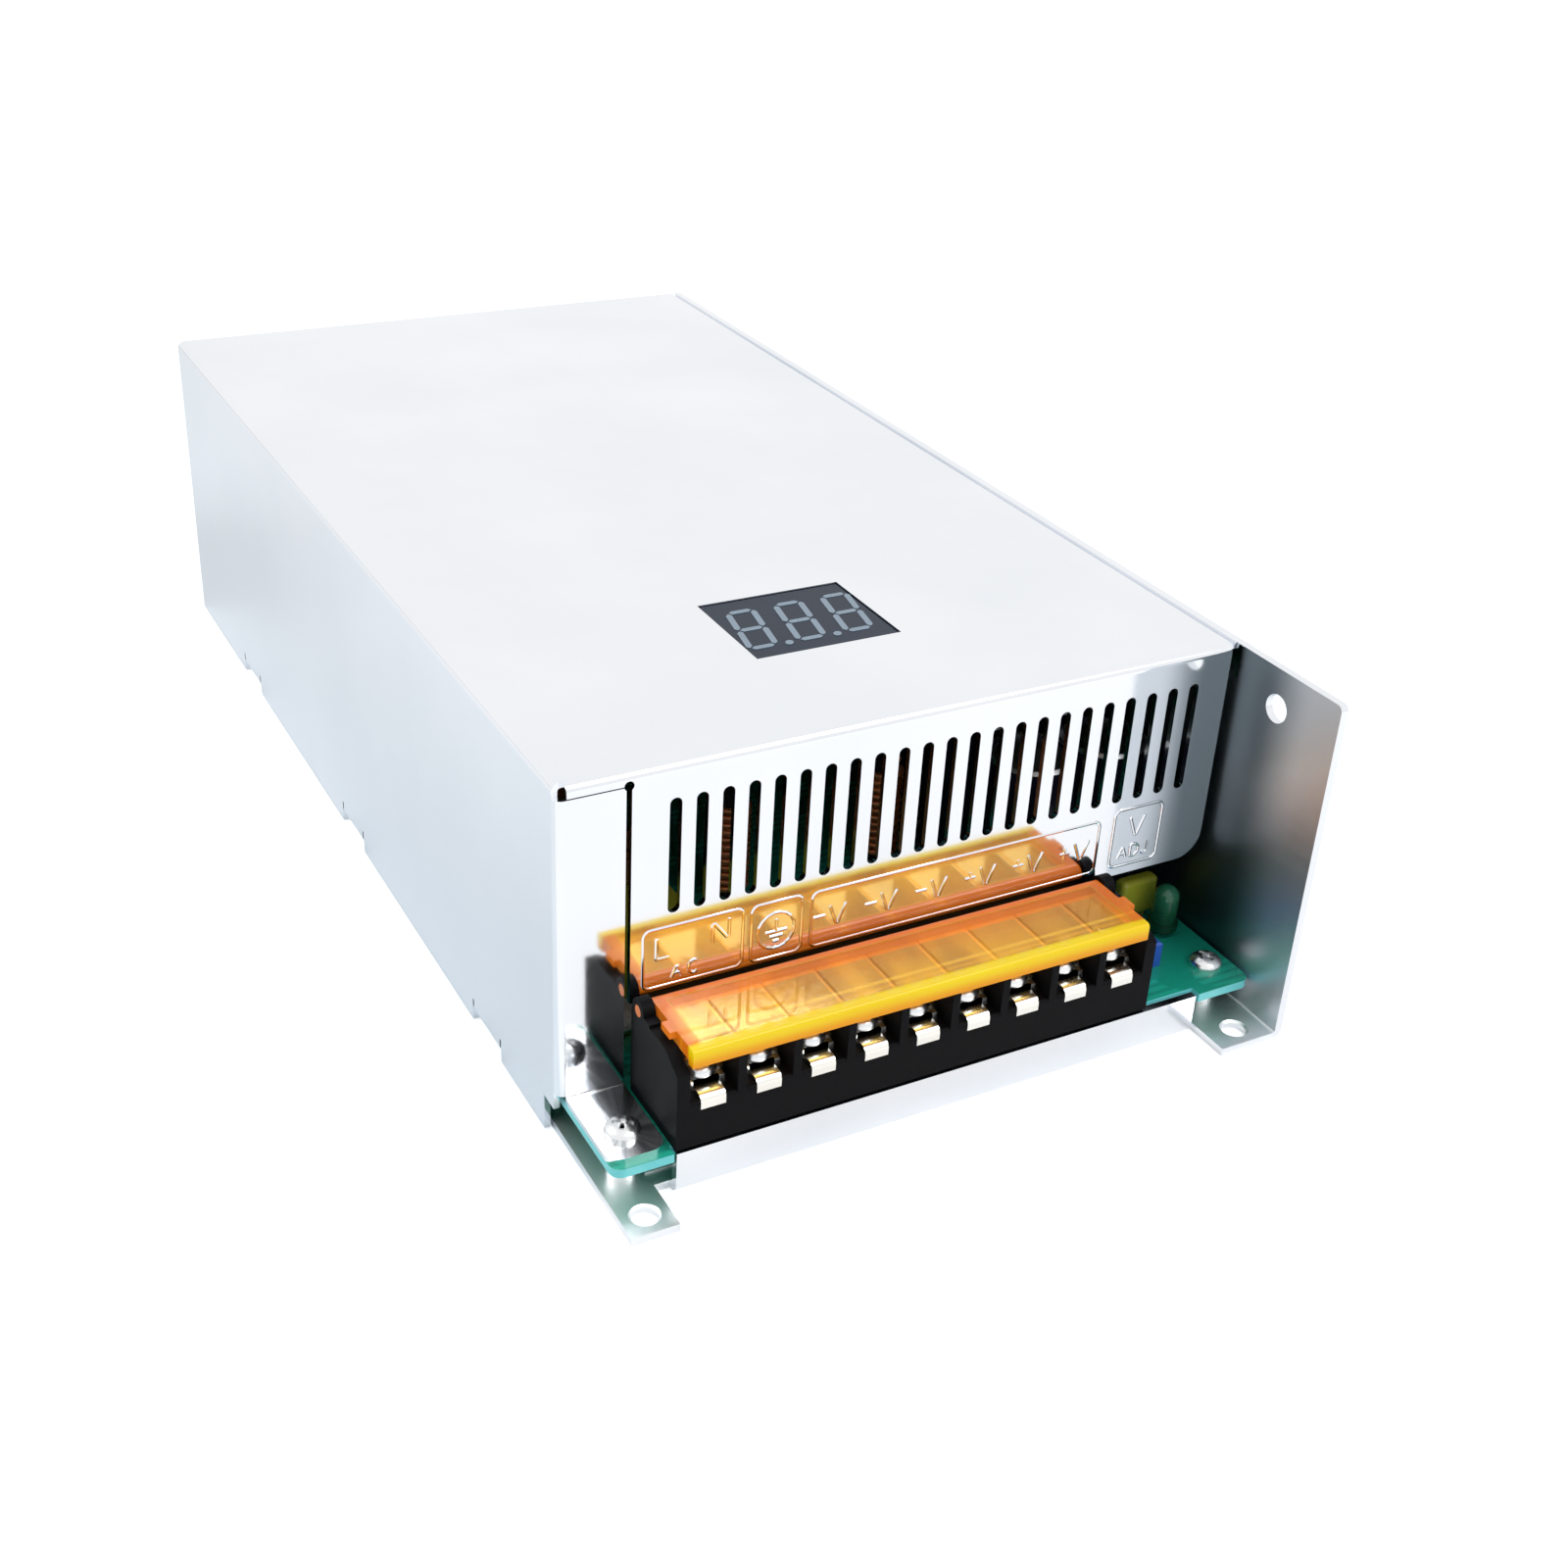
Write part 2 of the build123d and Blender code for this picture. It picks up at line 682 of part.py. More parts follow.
def make_cover():
    """Top, left side and louvred front folded from one sheet, with its screw flanges."""
    right = wall_inner
    path = [(x_left, side_clearance), (x_left, case_height), (right, case_height),
            (right, case_height - flange_drop)]
    body = along_y(folded_section(path, cover_sheet, -1), y_panel + cover_fold, y_rear)
    body -= block_between(right - cover_fold, right, y_panel, y_panel + flange_end_gap,
                          case_height - flange_drop, case_height - cover_fold)
    body -= block_between(right - cover_fold, right, y_rear - chassis_sheet - flange_end_gap, y_rear,
                          case_height - flange_drop, case_height - cover_fold)
    for y in stations():
        half = floor_tab_width / 2 + floor_tab_relief
        body -= block_between(x_left, x_left + cover_sheet, y - half, y + half,
                              side_clearance, chassis_sheet + 2 * cover_fold)
        body += make_floor_tab(y)
    body += make_strip() + make_front_panel()
    body -= block_between(x_left, x_left + cover_sheet, y_panel, y_panel + notch_depth,
                          side_clearance, notch_height)
    relief = facing(Cylinder(seam_relief_radius, 3 * cover_sheet),
                    (panel_left - seam_gap / 2, y_panel, case_height - cover_fold - strip_lip),
                    (0, 1, 0))
    body -= relief
    for x, y, z in floor_screw_places():
        body -= post(x, y, 0, chassis_sheet + 2 * cover_sheet, thread_bore)
    for place in side_screw_places():
        body -= facing(Cylinder(thread_bore, 4 * chassis_fold), place, (1, 0, 0))
    foot_x, foot_y = board_hole_places()[0]
    body -= post(foot_x, foot_y, board_top, board_top + cover_sheet, clearance_bore)
    body -= block_between(display_x - window_width / 2, display_x + window_width / 2,
                          display_y - window_length / 2, display_y + window_length / 2,
                          cover_under, case_height)
    return body


def make_cover_screws(places, outward, length):
    """Countersunk screws, their heads level with the sheet they go through."""
    return group(facing(flush_screw(length), place, outward) for place in places)


def end_wall_section():
    """Side view of the block's end wall: sloping shoulder, stepped top and the hinge ear."""
    shoulder = lid_bottom + lid_rim_depth / 2
    step = (block_rear - block_front) / 4
    outline = Polyline((block_front, board_top), (block_rear, board_top), (block_rear, hinge_z),
                       (hinge_y - ear_radius - step / 2, hinge_z),
                       (hinge_y - ear_radius - step / 2, shoulder),
                       (block_front + step, shoulder), (block_front + step / 2, partition_top),
                       (block_front, partition_top - step / 4), close=True)
    return make_face(outline) + Pos(hinge_y, hinge_z) * Circle(ear_radius)


def make_terminal_block():
    """Black moulding: a shelf with a rear wall, partitions between the terminals and end walls."""
    base_path = [(block_front, board_top), (block_rear, board_top), (block_rear, partition_top),
                 (cavity_rear, partition_top), (cavity_rear, ledge_top), (block_front, ledge_top)]
    base = make_face(Polyline(*base_path, close=True))
    base = fillet(base.vertices().sort_by_distance((block_front, ledge_top))[0], block_fillet)
    block = along_x(base, block_left, block_right)

    partition = make_face(Polyline((block_front, ledge_top - block_fillet),
                                   (cavity_rear, ledge_top - block_fillet),
                                   (cavity_rear, partition_top), (block_front, partition_top),
                                   close=True))
    partition = fillet(partition.vertices().sort_by_distance((block_front, partition_top))[0],
                       block_fillet)
    for x in terminal_xs()[:-1]:
        start = x + cavity_width / 2
        block += along_x(partition, start, start + partition_thickness)
    block += along_x(end_wall_section(), block_left, block_left + end_wall_thickness)
    block += along_x(end_wall_section(), block_right - end_wall_thickness, block_right)
    hinge_bore = Cylinder(hinge_bore_radius, 3 * (block_right - block_left))
    block -= facing(hinge_bore, (0, hinge_y, hinge_z), (1, 0, 0))

    for x in terminal_xs():
        block -= post(x, screw_y, ledge_top - screw_well_depth, ledge_top,
                      terminal_screw_radius + screw_well_gap)
        half = tongue_width / 2 + pin_clearance
        block -= block_between(x - half, x + half, block_front,
                               block_front + tag_thickness + bend_radius,
                               ledge_top - tongue_drop - pin_clearance, ledge_top)
    for x, y in pin_places():
        half_width = tag_pin_width / 2 + pin_clearance
        half_thickness = tag_pin_thickness / 2 + pin_clearance
        block -= block_between(x - half_width, x + half_width, y - half_thickness,
                               y + half_thickness, board_top, tag_top + pin_clearance)
        half_tag = tag_width / 2 + pin_clearance
        block -= block_between(x - half_tag, x + half_tag, cavity_rear, y + half_thickness,
                               ledge_top, tag_top + pin_clearance)
    return block


def make_terminal_tags():
    """Plated tags: a flat under the screw, a tongue bent down in front, a solder pin behind."""
    pieces = []
    pin_y = pin_places()[0][1]
    pin_rear = pin_y + tag_pin_thickness / 2
    for x in terminal_xs():
        shoulder_y = screw_y - clamp_depth / 2
        tag = block_between(x - tag_width / 2, x + tag_width / 2, shoulder_y, pin_rear,
                            ledge_top, tag_top)
        tongue_path = [(shoulder_y, tag_top), (block_front, tag_top),
                       (block_front, ledge_top - tongue_drop)]
        tag += along_x(folded_section(tongue_path, tag_thickness, 1),
                       x - tongue_width / 2, x + tongue_width / 2)
        tag += block_between(x - tag_pin_width / 2, x + tag_pin_width / 2,
                             pin_rear - tag_pin_thickness, pin_rear,
                             board_bottom - tag_pin_reach, ledge_top)
        tag -= post(x, screw_y, ledge_top, tag_top, terminal_screw_radius + terminal_bore_gap)
        pieces.append(tag)
    return group(pieces)


def make_terminal_screw(x):
    """Pan head screw with the square clamp plate that it carries."""
    head = Pos(0, 0, terminal_head_height / 2) * Cylinder(terminal_head_radius, terminal_head_height)
    head = fillet(head.edges().sort_by(Axis.Z)[-1], terminal_head_height * 0.5)
    shank_length = terminal_screw_length + clamp_thickness
    screw = head + Pos(0, 0, -shank_length / 2) * Cylinder(terminal_screw_radius, shank_length)
    plate = Rectangle(clamp_width, clamp_depth)
    plate = fillet(plate.vertices(), clamp_thickness)
    plate = extrude(plate - Circle(terminal_screw_radius), clamp_thickness)
    return group([Pos(x, screw_y, clamp_top) * screw, Pos(x, screw_y, tag_top) * plate])


def lid_section():
    """Side view of the lid: knuckle behind, flat top, front lip."""
    under = lid_top - lid_sheet
    outline = Polyline((hinge_y, lid_top), (lid_front, lid_top), (lid_front, lid_bottom),
                       (lid_front + lid_lip_thickness, lid_bottom),
                       (lid_front + lid_lip_thickness, under), (hinge_y, under), close=True)
    face = make_face(outline)
    face = fillet(face.vertices().sort_by_distance((lid_front, lid_top))[0], lid_sheet * 0.6)
    return face + Pos(hinge_y, hinge_z) * Circle(lid_knuckle_radius)


def rim_section():
    """End rim of the lid, from the knuckle to the front lip."""
    low = lid_top - lid_rim_depth
    outline = Polyline((hinge_y, lid_top), (lid_front + lid_sheet, lid_top),
                       (lid_front + lid_sheet, low), (hinge_y, low), close=True)
    return make_face(outline) + Pos(hinge_y, hinge_z) * Circle(lid_knuckle_radius)


def make_terminal_cover():
    """Clear amber lid on two hinge pins, with end rims, a snap lug at each end and cross ribs."""
    lid = along_x(lid_section(), lid_left, lid_right)
    lug_y = (hinge_y + lid_front) / 2
    for edge, inward in ((lid_left, 1), (lid_right, -1)):
        ends = sorted((edge, edge + inward * lid_rim_thickness))
        lid += along_x(rim_section(), *ends)
        pin_tip = edge - inward * (end_wall_thickness + lid_end_gap)
        pin = Cylinder(hinge_pin_radius, abs(pin_tip - edge) + lid_rim_thickness / 2)
        pin_middle = (pin_tip + edge + inward * lid_rim_thickness / 2) / 2
        lid += facing(pin, (pin_middle, hinge_y, hinge_z), (1, 0, 0))
        lug = sorted((edge, edge - inward * (lid_end_gap + lug_reach)))
        lid += block_between(*lug, lug_y - lug_width / 2, lug_y + lug_width / 2,
                             lid_top - lug_height, lid_top)
    under = lid_top - lid_sheet
    for x in terminal_xs()[:-1]:
        middle = x + terminal_pitch / 2
        half = lid_rib_thickness / 2
        lid += block_between(middle - half, middle + half, lid_front + lid_lip_thickness / 2,
                             hinge_y, under - lid_rib_depth, under)
    return lid


def trimmer_place():
    x = block_right + trimmer_gap + trimmer_size / 2
    return x, y_panel - trimmer_setback - trimmer_size / 2


def make_trimmer():
    """Square trimmer body, bored for its rotor, on three leads through the board."""
    x, y = trimmer_place()
    top = board_top + trimmer_height
    half = trimmer_size / 2
    body = block_between(x - half, x + half, y - half, y + half, board_top, top)
    body = chamfer(body.edges().group_by(Axis.Z)[-1], trimmer_slot_width / 2)
    return body - post(x, y, top - trimmer_rotor_depth, top, trimmer_bore_radius)


def make_trimmer_rotor():
    """Round rotor with a screwdriver slot."""
    x, y = trimmer_place()
    top = board_top + trimmer_height + trimmer_proud
    rotor = post(x, y, top - trimmer_proud - trimmer_rotor_depth, top, trimmer_rotor_radius)
    half = trimmer_slot_width / 2
    return rotor - block_between(x - trimmer_rotor_radius, x + trimmer_rotor_radius,
                                 y - half, y + half, top - trimmer_slot_depth, top)


def make_indicator_lamp():
    """Round lamp with a domed end, a foot flange and two leads."""
    x = board_right - lamp_inset
    y = y_panel + lamp_setback
    foot = board_top + lamp_stand
    shape = post(x, y, foot, foot + lamp_height - lamp_radius, lamp_radius)
    shape += Pos(x, y, foot + lamp_height - lamp_radius) * Sphere(lamp_radius)
    shape += post(x, y, foot, foot + lead_reach, lamp_flange_radius)
    for side in (-1, 1):
        shape += post(x + side * lamp_radius / 2, y, board_top, foot, lead_radius)
    return shape


def make_corner_film_capacitor():
    """Small dipped film capacitor standing behind the lamp."""
    width, depth, height = corner_film_box
    x = board_right - corner_film_inset
    y = y_panel + corner_film_setback
    body = block_between(x - width / 2, x + width / 2, y - depth / 2, y + depth / 2,
                         board_top + lamp_stand, board_top + lamp_stand + height)
    body = fillet(body.edges(), depth * 0.35)
    for side in (-1, 1):
        body += post(x + side * width * 0.3, y, board_top, board_top + 2 * lamp_stand, lead_radius)
    return body


def make_display_module():
    """Three-digit display, its face just below the top of the cover."""
    half_width = window_width / 2 - window_gap
    half_length = window_length / 2 - window_gap
    return block_between(display_x - half_width, display_x + half_width,
                         display_y - half_length, display_y + half_length,
                         meter_board_top, case_height - display_recess)


def meter_stud_places():
    x = meter_board_width / 2 - meter_stud_inset
    return [(display_x + side * x, display_y) for side in (-1, 1)]


def make_meter_board():
    """Board that carries the display, hung under the top on two studs."""
    bottom = meter_board_top - meter_board_sheet
    board = block_between(display_x - meter_board_width / 2, display_x + meter_board_width / 2,
                          display_y - meter_board_length / 2, display_y + meter_board_length / 2,
                          bottom, meter_board_top)
    for x, y in meter_stud_places():
        board -= post(x, y, bottom, meter_board_top, meter_stud_bore)
    return board


def make_meter_studs():
    """Studs welded under the top, each with a shoulder that the board is drawn up to."""
    pieces = []
    for x, y in meter_stud_places():
        shoulder = post(x, y, meter_board_top, cover_under, meter_nut_radius)
        tail = meter_board_top - meter_board_sheet - meter_stud_tail
        pieces.append(shoulder + post(x, y, tail, meter_board_top, meter_stud_radius))
    return group(pieces)


def make_meter_nuts():
    """Hexagon nuts that hold the meter board on its studs."""
    top = meter_board_top - meter_board_sheet
    section = RegularPolygon(meter_nut_radius, 6) - Circle(meter_stud_bore)
    return group(along_z(Pos(x, y) * section, top - meter_nut_height, top)
                 for x, y in meter_stud_places())


def make_fan_frame():
    """Square fan frame: round duct, waisted sides, and a hub on struts at the rear."""
    half = fan_size / 2
    duct_radius = half - fan_wall
    square = fillet(Rectangle(fan_size, fan_size).vertices(), fan_corner_radius)
    at_fan = Pos(fan_x, fan_z)
    frame = along_y(at_fan * square, fan_front, fan_rear)
    frame -= along_y(at_fan * Circle(duct_radius), fan_front, fan_rear)
    waist = square - Circle(half - fan_wall / 4)
    for x, z in fan_hole_places():
        waist -= Pos(x - fan_x, z - fan_z) * Circle(fan_hole_inset)
    frame -= along_y(at_fan * waist, fan_front + fan_flange, fan_rear - fan_flange)
    for x, z in fan_hole_places():
        frame -= along_y(Pos(x, z) * Circle(fan_hole_radius), fan_front, fan_rear)

    base = along_y(at_fan * Circle(fan_hub_radius), fan_rear - fan_base_thickness, fan_rear)
    for k in range(fan_strut_count):
        angle = 45 + 360 / fan_strut_count * k
        reach = (fan_hub_radius + duct_radius + fan_wall / 2) / 2
        length = duct_radius + fan_wall / 2 - fan_hub_radius + fan_wall
        bar = Rot(0, 0, angle) * Pos(reach, 0) * Rectangle(length, fan_strut_width)
        base += along_y(at_fan * bar, fan_rear - fan_base_thickness, fan_rear)
    tube = Circle(fan_bearing_radius) - Circle(fan_bearing_bore)
    base += along_y(at_fan * tube, fan_front + fan_flange + fan_running_gap, fan_rear)
    return frame + base


def make_fan_stator():
    """Wound stator pressed on the bearing tube, inside the rotor's cup."""
    ring = Circle(fan_hub_radius - 3 * fan_cup_wall) - Circle(fan_bearing_radius)
    spokes = Sketch()
    for k in range(4):
        gap = Rectangle(fan_cup_wall, fan_hub_radius)
        spokes += Rot(0, 0, 90 * k) * Pos(0, fan_hub_radius) * gap
    start = fan_front + fan_flange + 2 * fan_running_gap
    end = fan_rear - fan_base_thickness
    return along_y(Pos(fan_x, fan_z) * (ring - spokes), start, end)


def fan_blade():
    """One blade about the +Y axis: a cambered section, steeper at the hub than at the tip."""
    tip_radius = fan_size / 2 - fan_wall - fan_tip_gap
    half = fan_blade_chord / 2
    sections = []
    for radius, angle in ((fan_hub_radius - fan_cup_wall / 2, fan_root_angle),
                          (tip_radius, fan_tip_angle)):
        upper = ThreePointArc((-half, 0), (0, fan_blade_camber + fan_blade_thickness), (half, 0))
        lower = ThreePointArc((half, 0), (0, fan_blade_camber), (-half, 0))
        profile = make_face(Curve() + [upper, lower])
        plane = Plane(origin=(radius, 0, 0), x_dir=(0, cos(radians(angle)), sin(radians(angle))),
                      z_dir=(1, 0, 0))
        sections.append(plane * profile)
    return loft(sections)


def make_fan_rotor():
    """Cup with its shaft and the ring of blades."""
    front = fan_front + fan_flange - fan_cup_wall
    back = fan_rear - fan_base_thickness - fan_running_gap
    at_fan = Pos(fan_x, fan_z)
    rotor = along_y(at_fan * Circle(fan_hub_radius), front, back)
    middle = (front + back) / 2
    for k in range(fan_blade_count):
        turn = Rot(0, 360 / fan_blade_count * k, 0)
        rotor += Pos(fan_x, middle, fan_z) * turn * fan_blade()
    rotor -= along_y(at_fan * Circle(fan_hub_radius - fan_cup_wall), front + fan_cup_wall, back)
    shaft_end = fan_rear - fan_base_thickness - fan_end_gap
    return rotor + along_y(at_fan * Circle(fan_shaft_radius), front, shaft_end)


def make_fan_screws():
    """Countersunk screws through the rear wall into the corners of the fan."""
    screw = flush_screw(fan_screw_length, shank=fan_screw_radius,
                        head=fan_screw_radius + chassis_sheet * 0.8 - pin_clearance)
    return group(facing(screw, (x, y_rear, z), (0, 1, 0)) for x, z in fan_hole_places())


def electrolytic_can(x, y, radius, height):
    """Sleeved can with a rolled groove near the board and a stepped top."""
    groove = can_rim * 3
    points = [(0, 0), (radius, 0), (radius, groove), (radius - can_rim, groove + can_rim),
              (radius, groove + 2 * can_rim), (radius, height - can_rim),
              (radius - can_rim, height), (radius - 2 * can_rim, height),
              (radius - 2 * can_rim, height - can_rim), (0, height - can_rim)]
    section = make_face(Polyline(*points, close=True))
    return Pos(x, y, board_top) * revolve(Plane.XZ * section, Axis.Z)


def soldered_box(size, place, lift=0.0):
    """Boxed part on two leads, its base on the board or lifted on its leads."""
    width, depth, height = size
    x, y = place
    base = board_top + lift
    body = block_between(x - width / 2, x + width / 2, y - depth / 2, y + depth / 2,
                         base, base + height)
    body = fillet(body.edges().filter_by(Axis.Z), min(width, depth) * 0.12)
    for side in (-1, 1):
        body += post(x + side * width * 0.35, y, board_top, base + lead_reach, lead_radius)
    return body


def make_input_fuse():
    z = board_top + 2 * fuse_radius
    return facing(Cylinder(fuse_radius, fuse_length), (x_left + fuse_x, fuse_y, z), (1, 0, 0))


def make_fuse_clips():
    """Two spring clips, each a strap under the fuse with a wall on each side."""
    pieces = []
    wall = can_rim
    inner = fuse_radius + pin_clearance
    for side in (-1, 1):
        middle = x_left + fuse_x + side * (fuse_length / 2 - fuse_radius)
        outer = block_between(middle - fuse_radius / 2, middle + fuse_radius / 2,
                              fuse_y - inner - wall, fuse_y + inner + wall,
                              board_top, board_top + 3 * fuse_radius)
        outer -= block_between(middle - fuse_radius, middle + fuse_radius,
                               fuse_y - inner, fuse_y + inner,
                               board_top + fuse_radius - pin_clearance,
                               board_top + 4 * fuse_radius)
        pieces.append(outer)
    return group(pieces)


def make_thermistor():
    """Dark disc standing on its two leads."""
    x, y = x_left + thermistor_x, fuse_y
    z = board_top + lamp_stand + thermistor_radius
    disc = facing(Cylinder(thermistor_radius, thermistor_thickness), (x, y, z), (0, 1, 0))
    disc = fillet(disc.edges(), thermistor_thickness * 0.3)
    for side in (-1, 1):
        disc += post(x + side * thermistor_radius / 2, y, board_top, z - thermistor_radius / 2,
                     2 * lead_radius)
    return disc


def ring_core(x, y, radius, bore, height):
    """Ring standing off the board by its winding."""
    low = board_top + winding_build + pin_clearance
    return along_z(Pos(x, y) * (Circle(radius) - Circle(bore)), low, low + height)


def ring_winding(x, y, radius, bore, height, start, sweep):
    """Sector of winding wrapped round a ring core, clear of it by the pin clearance."""
    lift = winding_build + pin_clearance
    inner = bore - winding_build
    outer = radius + winding_build
    low = board_top + lift - winding_build
    high = board_top + lift + height + winding_build
    ring = along_z(Pos(x, y) * (Circle(outer) - Circle(inner)), low, high)
    ring -= along_z(Pos(x, y) * (Circle(radius + pin_clearance) - Circle(bore - pin_clearance)),
                    low + winding_build - pin_clearance, high - winding_build + pin_clearance)
    wedge = Sketch()
    arc_end = start + sweep
    reach = 2 * outer
    points = [(0, 0)] + [(reach * cos(radians(a)), reach * sin(radians(a)))
                         for a in (start, (start + arc_end) / 2, arc_end)]
    wedge += make_face(Polyline(*points, close=True))
    return ring & along_z(Pos(x, y) * wedge, low - 1, high + 1)


def make_line_choke_core():
    return ring_core(x_left + line_choke_x, line_choke_y, line_choke_radius, line_choke_bore,
                     line_choke_height)


def make_line_choke_windings():
    """Two equal windings on opposite sides of the ring."""
    sweep = 180 - 2 * winding_margin
    return group(ring_winding(x_left + line_choke_x, line_choke_y, line_choke_radius,
                              line_choke_bore, line_choke_height, start, sweep)
                 for start in (winding_margin, 180 + winding_margin))


def make_storage_choke_core():
    return ring_core(x_left + storage_choke_x, storage_choke_y, storage_choke_radius,
                     storage_choke_bore, storage_choke_height)


def make_storage_choke_winding():
    """One winding over most of the ring, made in two halves that meet."""
    sweep = 180 - winding_margin
    halves = [ring_winding(x_left + storage_choke_x, storage_choke_y, storage_choke_radius,
                           storage_choke_bore, storage_choke_height, start, sweep)
              for start in (winding_margin, 180)]
    return halves[0] + halves[1]


def make_bridge_rectifier():
    """Flat upright package on four leads."""
    width, depth, height = bridge_box
    x, y = x_left + bridge_x, bridge_y
    base = board_top + 3 * lamp_stand
    body = block_between(x - width / 2, x + width / 2, y - depth / 2, y + depth / 2,
                         base, base + height)
    body = chamfer(body.edges().group_by(Axis.Z)[-1].sort_by(Axis.X)[-1], depth * 0.5)
    for k in range(4):
        lead_x = x + (k - 1.5) * width / 4
        body += post(lead_x, y, board_top, base + lead_reach, 2 * lead_radius)
    return body


def make_bulk_capacitors():
    return group(electrolytic_can(x_left + x, bulk_can_y, bulk_can_radius, bulk_can_height)
                 for x in bulk_can_xs)


def make_output_capacitors():
    """Two columns of cans along the right wall."""
    pieces = []
    for column in range(2):
        x = wall_inner - output_can_wall_gap - (2 * column + 1) * output_can_radius
        for row in range(output_can_rows):
            behind = row * (2 * output_can_radius + output_can_gap) + output_can_radius
            pieces.append(electrolytic_can(x, y_panel + output_can_front + behind,
                                           output_can_radius, output_can_height))
    return group(pieces)


def make_rod_choke_cores():
    """Ferrite rods standing on the board."""
    return group(post(x_left + x, rod_choke_y, board_top, board_top + rod_choke_height,
                      rod_choke_core_radius) for x in rod_choke_xs)


def make_rod_choke_windings():
    """Thick wire wound close round each rod: one rounded ridge for each turn."""
    wire = rod_choke_radius - rod_choke_core_radius - pin_clearance
    inner = rod_choke_core_radius + pin_clearance
    foot = board_top + lamp_stand
    pitch = (rod_choke_height - lamp_stand - lead_reach) / rod_choke_turns
    neck = inner + wire * 0.55
    outline = Polyline((neck, pitch * rod_choke_turns), (inner, pitch * rod_choke_turns),
                       (inner, 0), (neck, 0))
    ridges = [ThreePointArc((neck, pitch * k), (inner + wire, pitch * (k + 0.5)),
                            (neck, pitch * (k + 1))) for k in range(rod_choke_turns)]
    section = make_face(Curve() + [outline, *ridges])
    coil = revolve(Plane.XZ * section, Axis.Z)
    return group(Pos(x_left + x, rod_choke_y, foot) * coil for x in rod_choke_xs)


def make_transformer_core():
    """Pair of E cores with their joint upright, standing on the bobbin's rails."""
    width, depth, height = transformer_core_box
    x, y = x_left + transformer_x, transformer_y
    low = board_top + transformer_stand
    core = block_between(x - width / 2, x + width / 2, y - depth / 2, y + depth / 2,
                         low, low + height)
    limb = width / 4
    for side in (-1, 1):
        middle = x + side * limb
        core -= block_between(middle - limb / 2, middle + limb / 2,
                              y - depth / 2 + limb, y + depth / 2 - limb, low, low + height)
    return core


def make_transformer_winding():
    """Wound bobbin round the middle limb, with rails that stand on the board."""
    width, depth, height = transformer_core_box
    x, y = x_left + transformer_x, transformer_y
    low = board_top + transformer_stand
    limb = width / 4
    half_width = width / 2 - limb / 2 - pin_clearance
    half_depth = depth / 2 - limb - pin_clearance
    inner = limb / 2 + pin_clearance
    build = limb
    outer = block_between(x - half_width, x + half_width, y - half_depth, y + half_depth,
                          low - build, low + height + build)
    outer = fillet(outer.edges().filter_by(Axis.Y), build * 0.5)
    window = block_between(x - inner, x + inner, y - half_depth, y + half_depth,
                           low - pin_clearance, low + height + pin_clearance)
    body = outer - window
    for side in (-1, 1):
        rail_y = y + side * (half_depth - build / 4)
        body += block_between(x - half_width, x + half_width, rail_y - build / 4,
                              rail_y + build / 4, board_top, low - build / 2)
    return body


def make_control_board():
    """Small upright board with a row of pins."""
    width, depth, height = control_board_box
    x, y = x_left + control_board_x, control_board_y
    low = board_top + 2 * lamp_stand
    board = block_between(x - width / 2, x + width / 2, y - depth / 2, y + depth / 2,
                          low, low + height)
    for k in range(8):
        pin_x = x + (k - 3.5) * width / 9
        board += post(pin_x, y, board_top, low + lead_reach, lead_radius)
    return board


def make_power_packages():
    """Flat packages clamped against the right wall, their legs bent down to the board."""
    depth, length, height = package_box
    pieces = []
    low = board_top + package_lift
    for y in package_ys():
        package = block_between(wall_inner - depth, wall_inner, y - length / 2, y + length / 2,
                                low, low + height)
        package = fillet(package.edges().filter_by(Axis.Z), can_rim)
        for k in (-1, 0, 1):
            leg_y = y + k * package_leg_pitch
            package += block_between(wall_inner - depth / 2 - package_leg / 2,
                                     wall_inner - depth / 2 + package_leg / 2,
                                     leg_y - package_leg / 2, leg_y + package_leg / 2,
                                     board_top, low + lead_reach)
        pieces.append(package)
    return group(pieces)


def make_clamp_bar():
    """Square bar that presses the packages to the wall, tapped for its screws."""
    x = wall_inner - package_box[0]
    y0 = package_ys()[0] - package_box[1] / 2 - clamp_bar_overhang
    y1 = package_ys()[-1] + package_box[1] / 2 + clamp_bar_overhang
    z = clamp_screw_places()[0][2]
    bar = block_between(x - clamp_bar_depth, x, y0, y1, z - clamp_bar_height / 2,
                        z + clamp_bar_height / 2)
    bar = chamfer(bar.edges().filter_by(Axis.Y), can_rim)
    for place in clamp_screw_places():
        bar -= facing(Cylinder(thread_bore, 4 * clamp_screw_length), place, (1, 0, 0))
    return bar


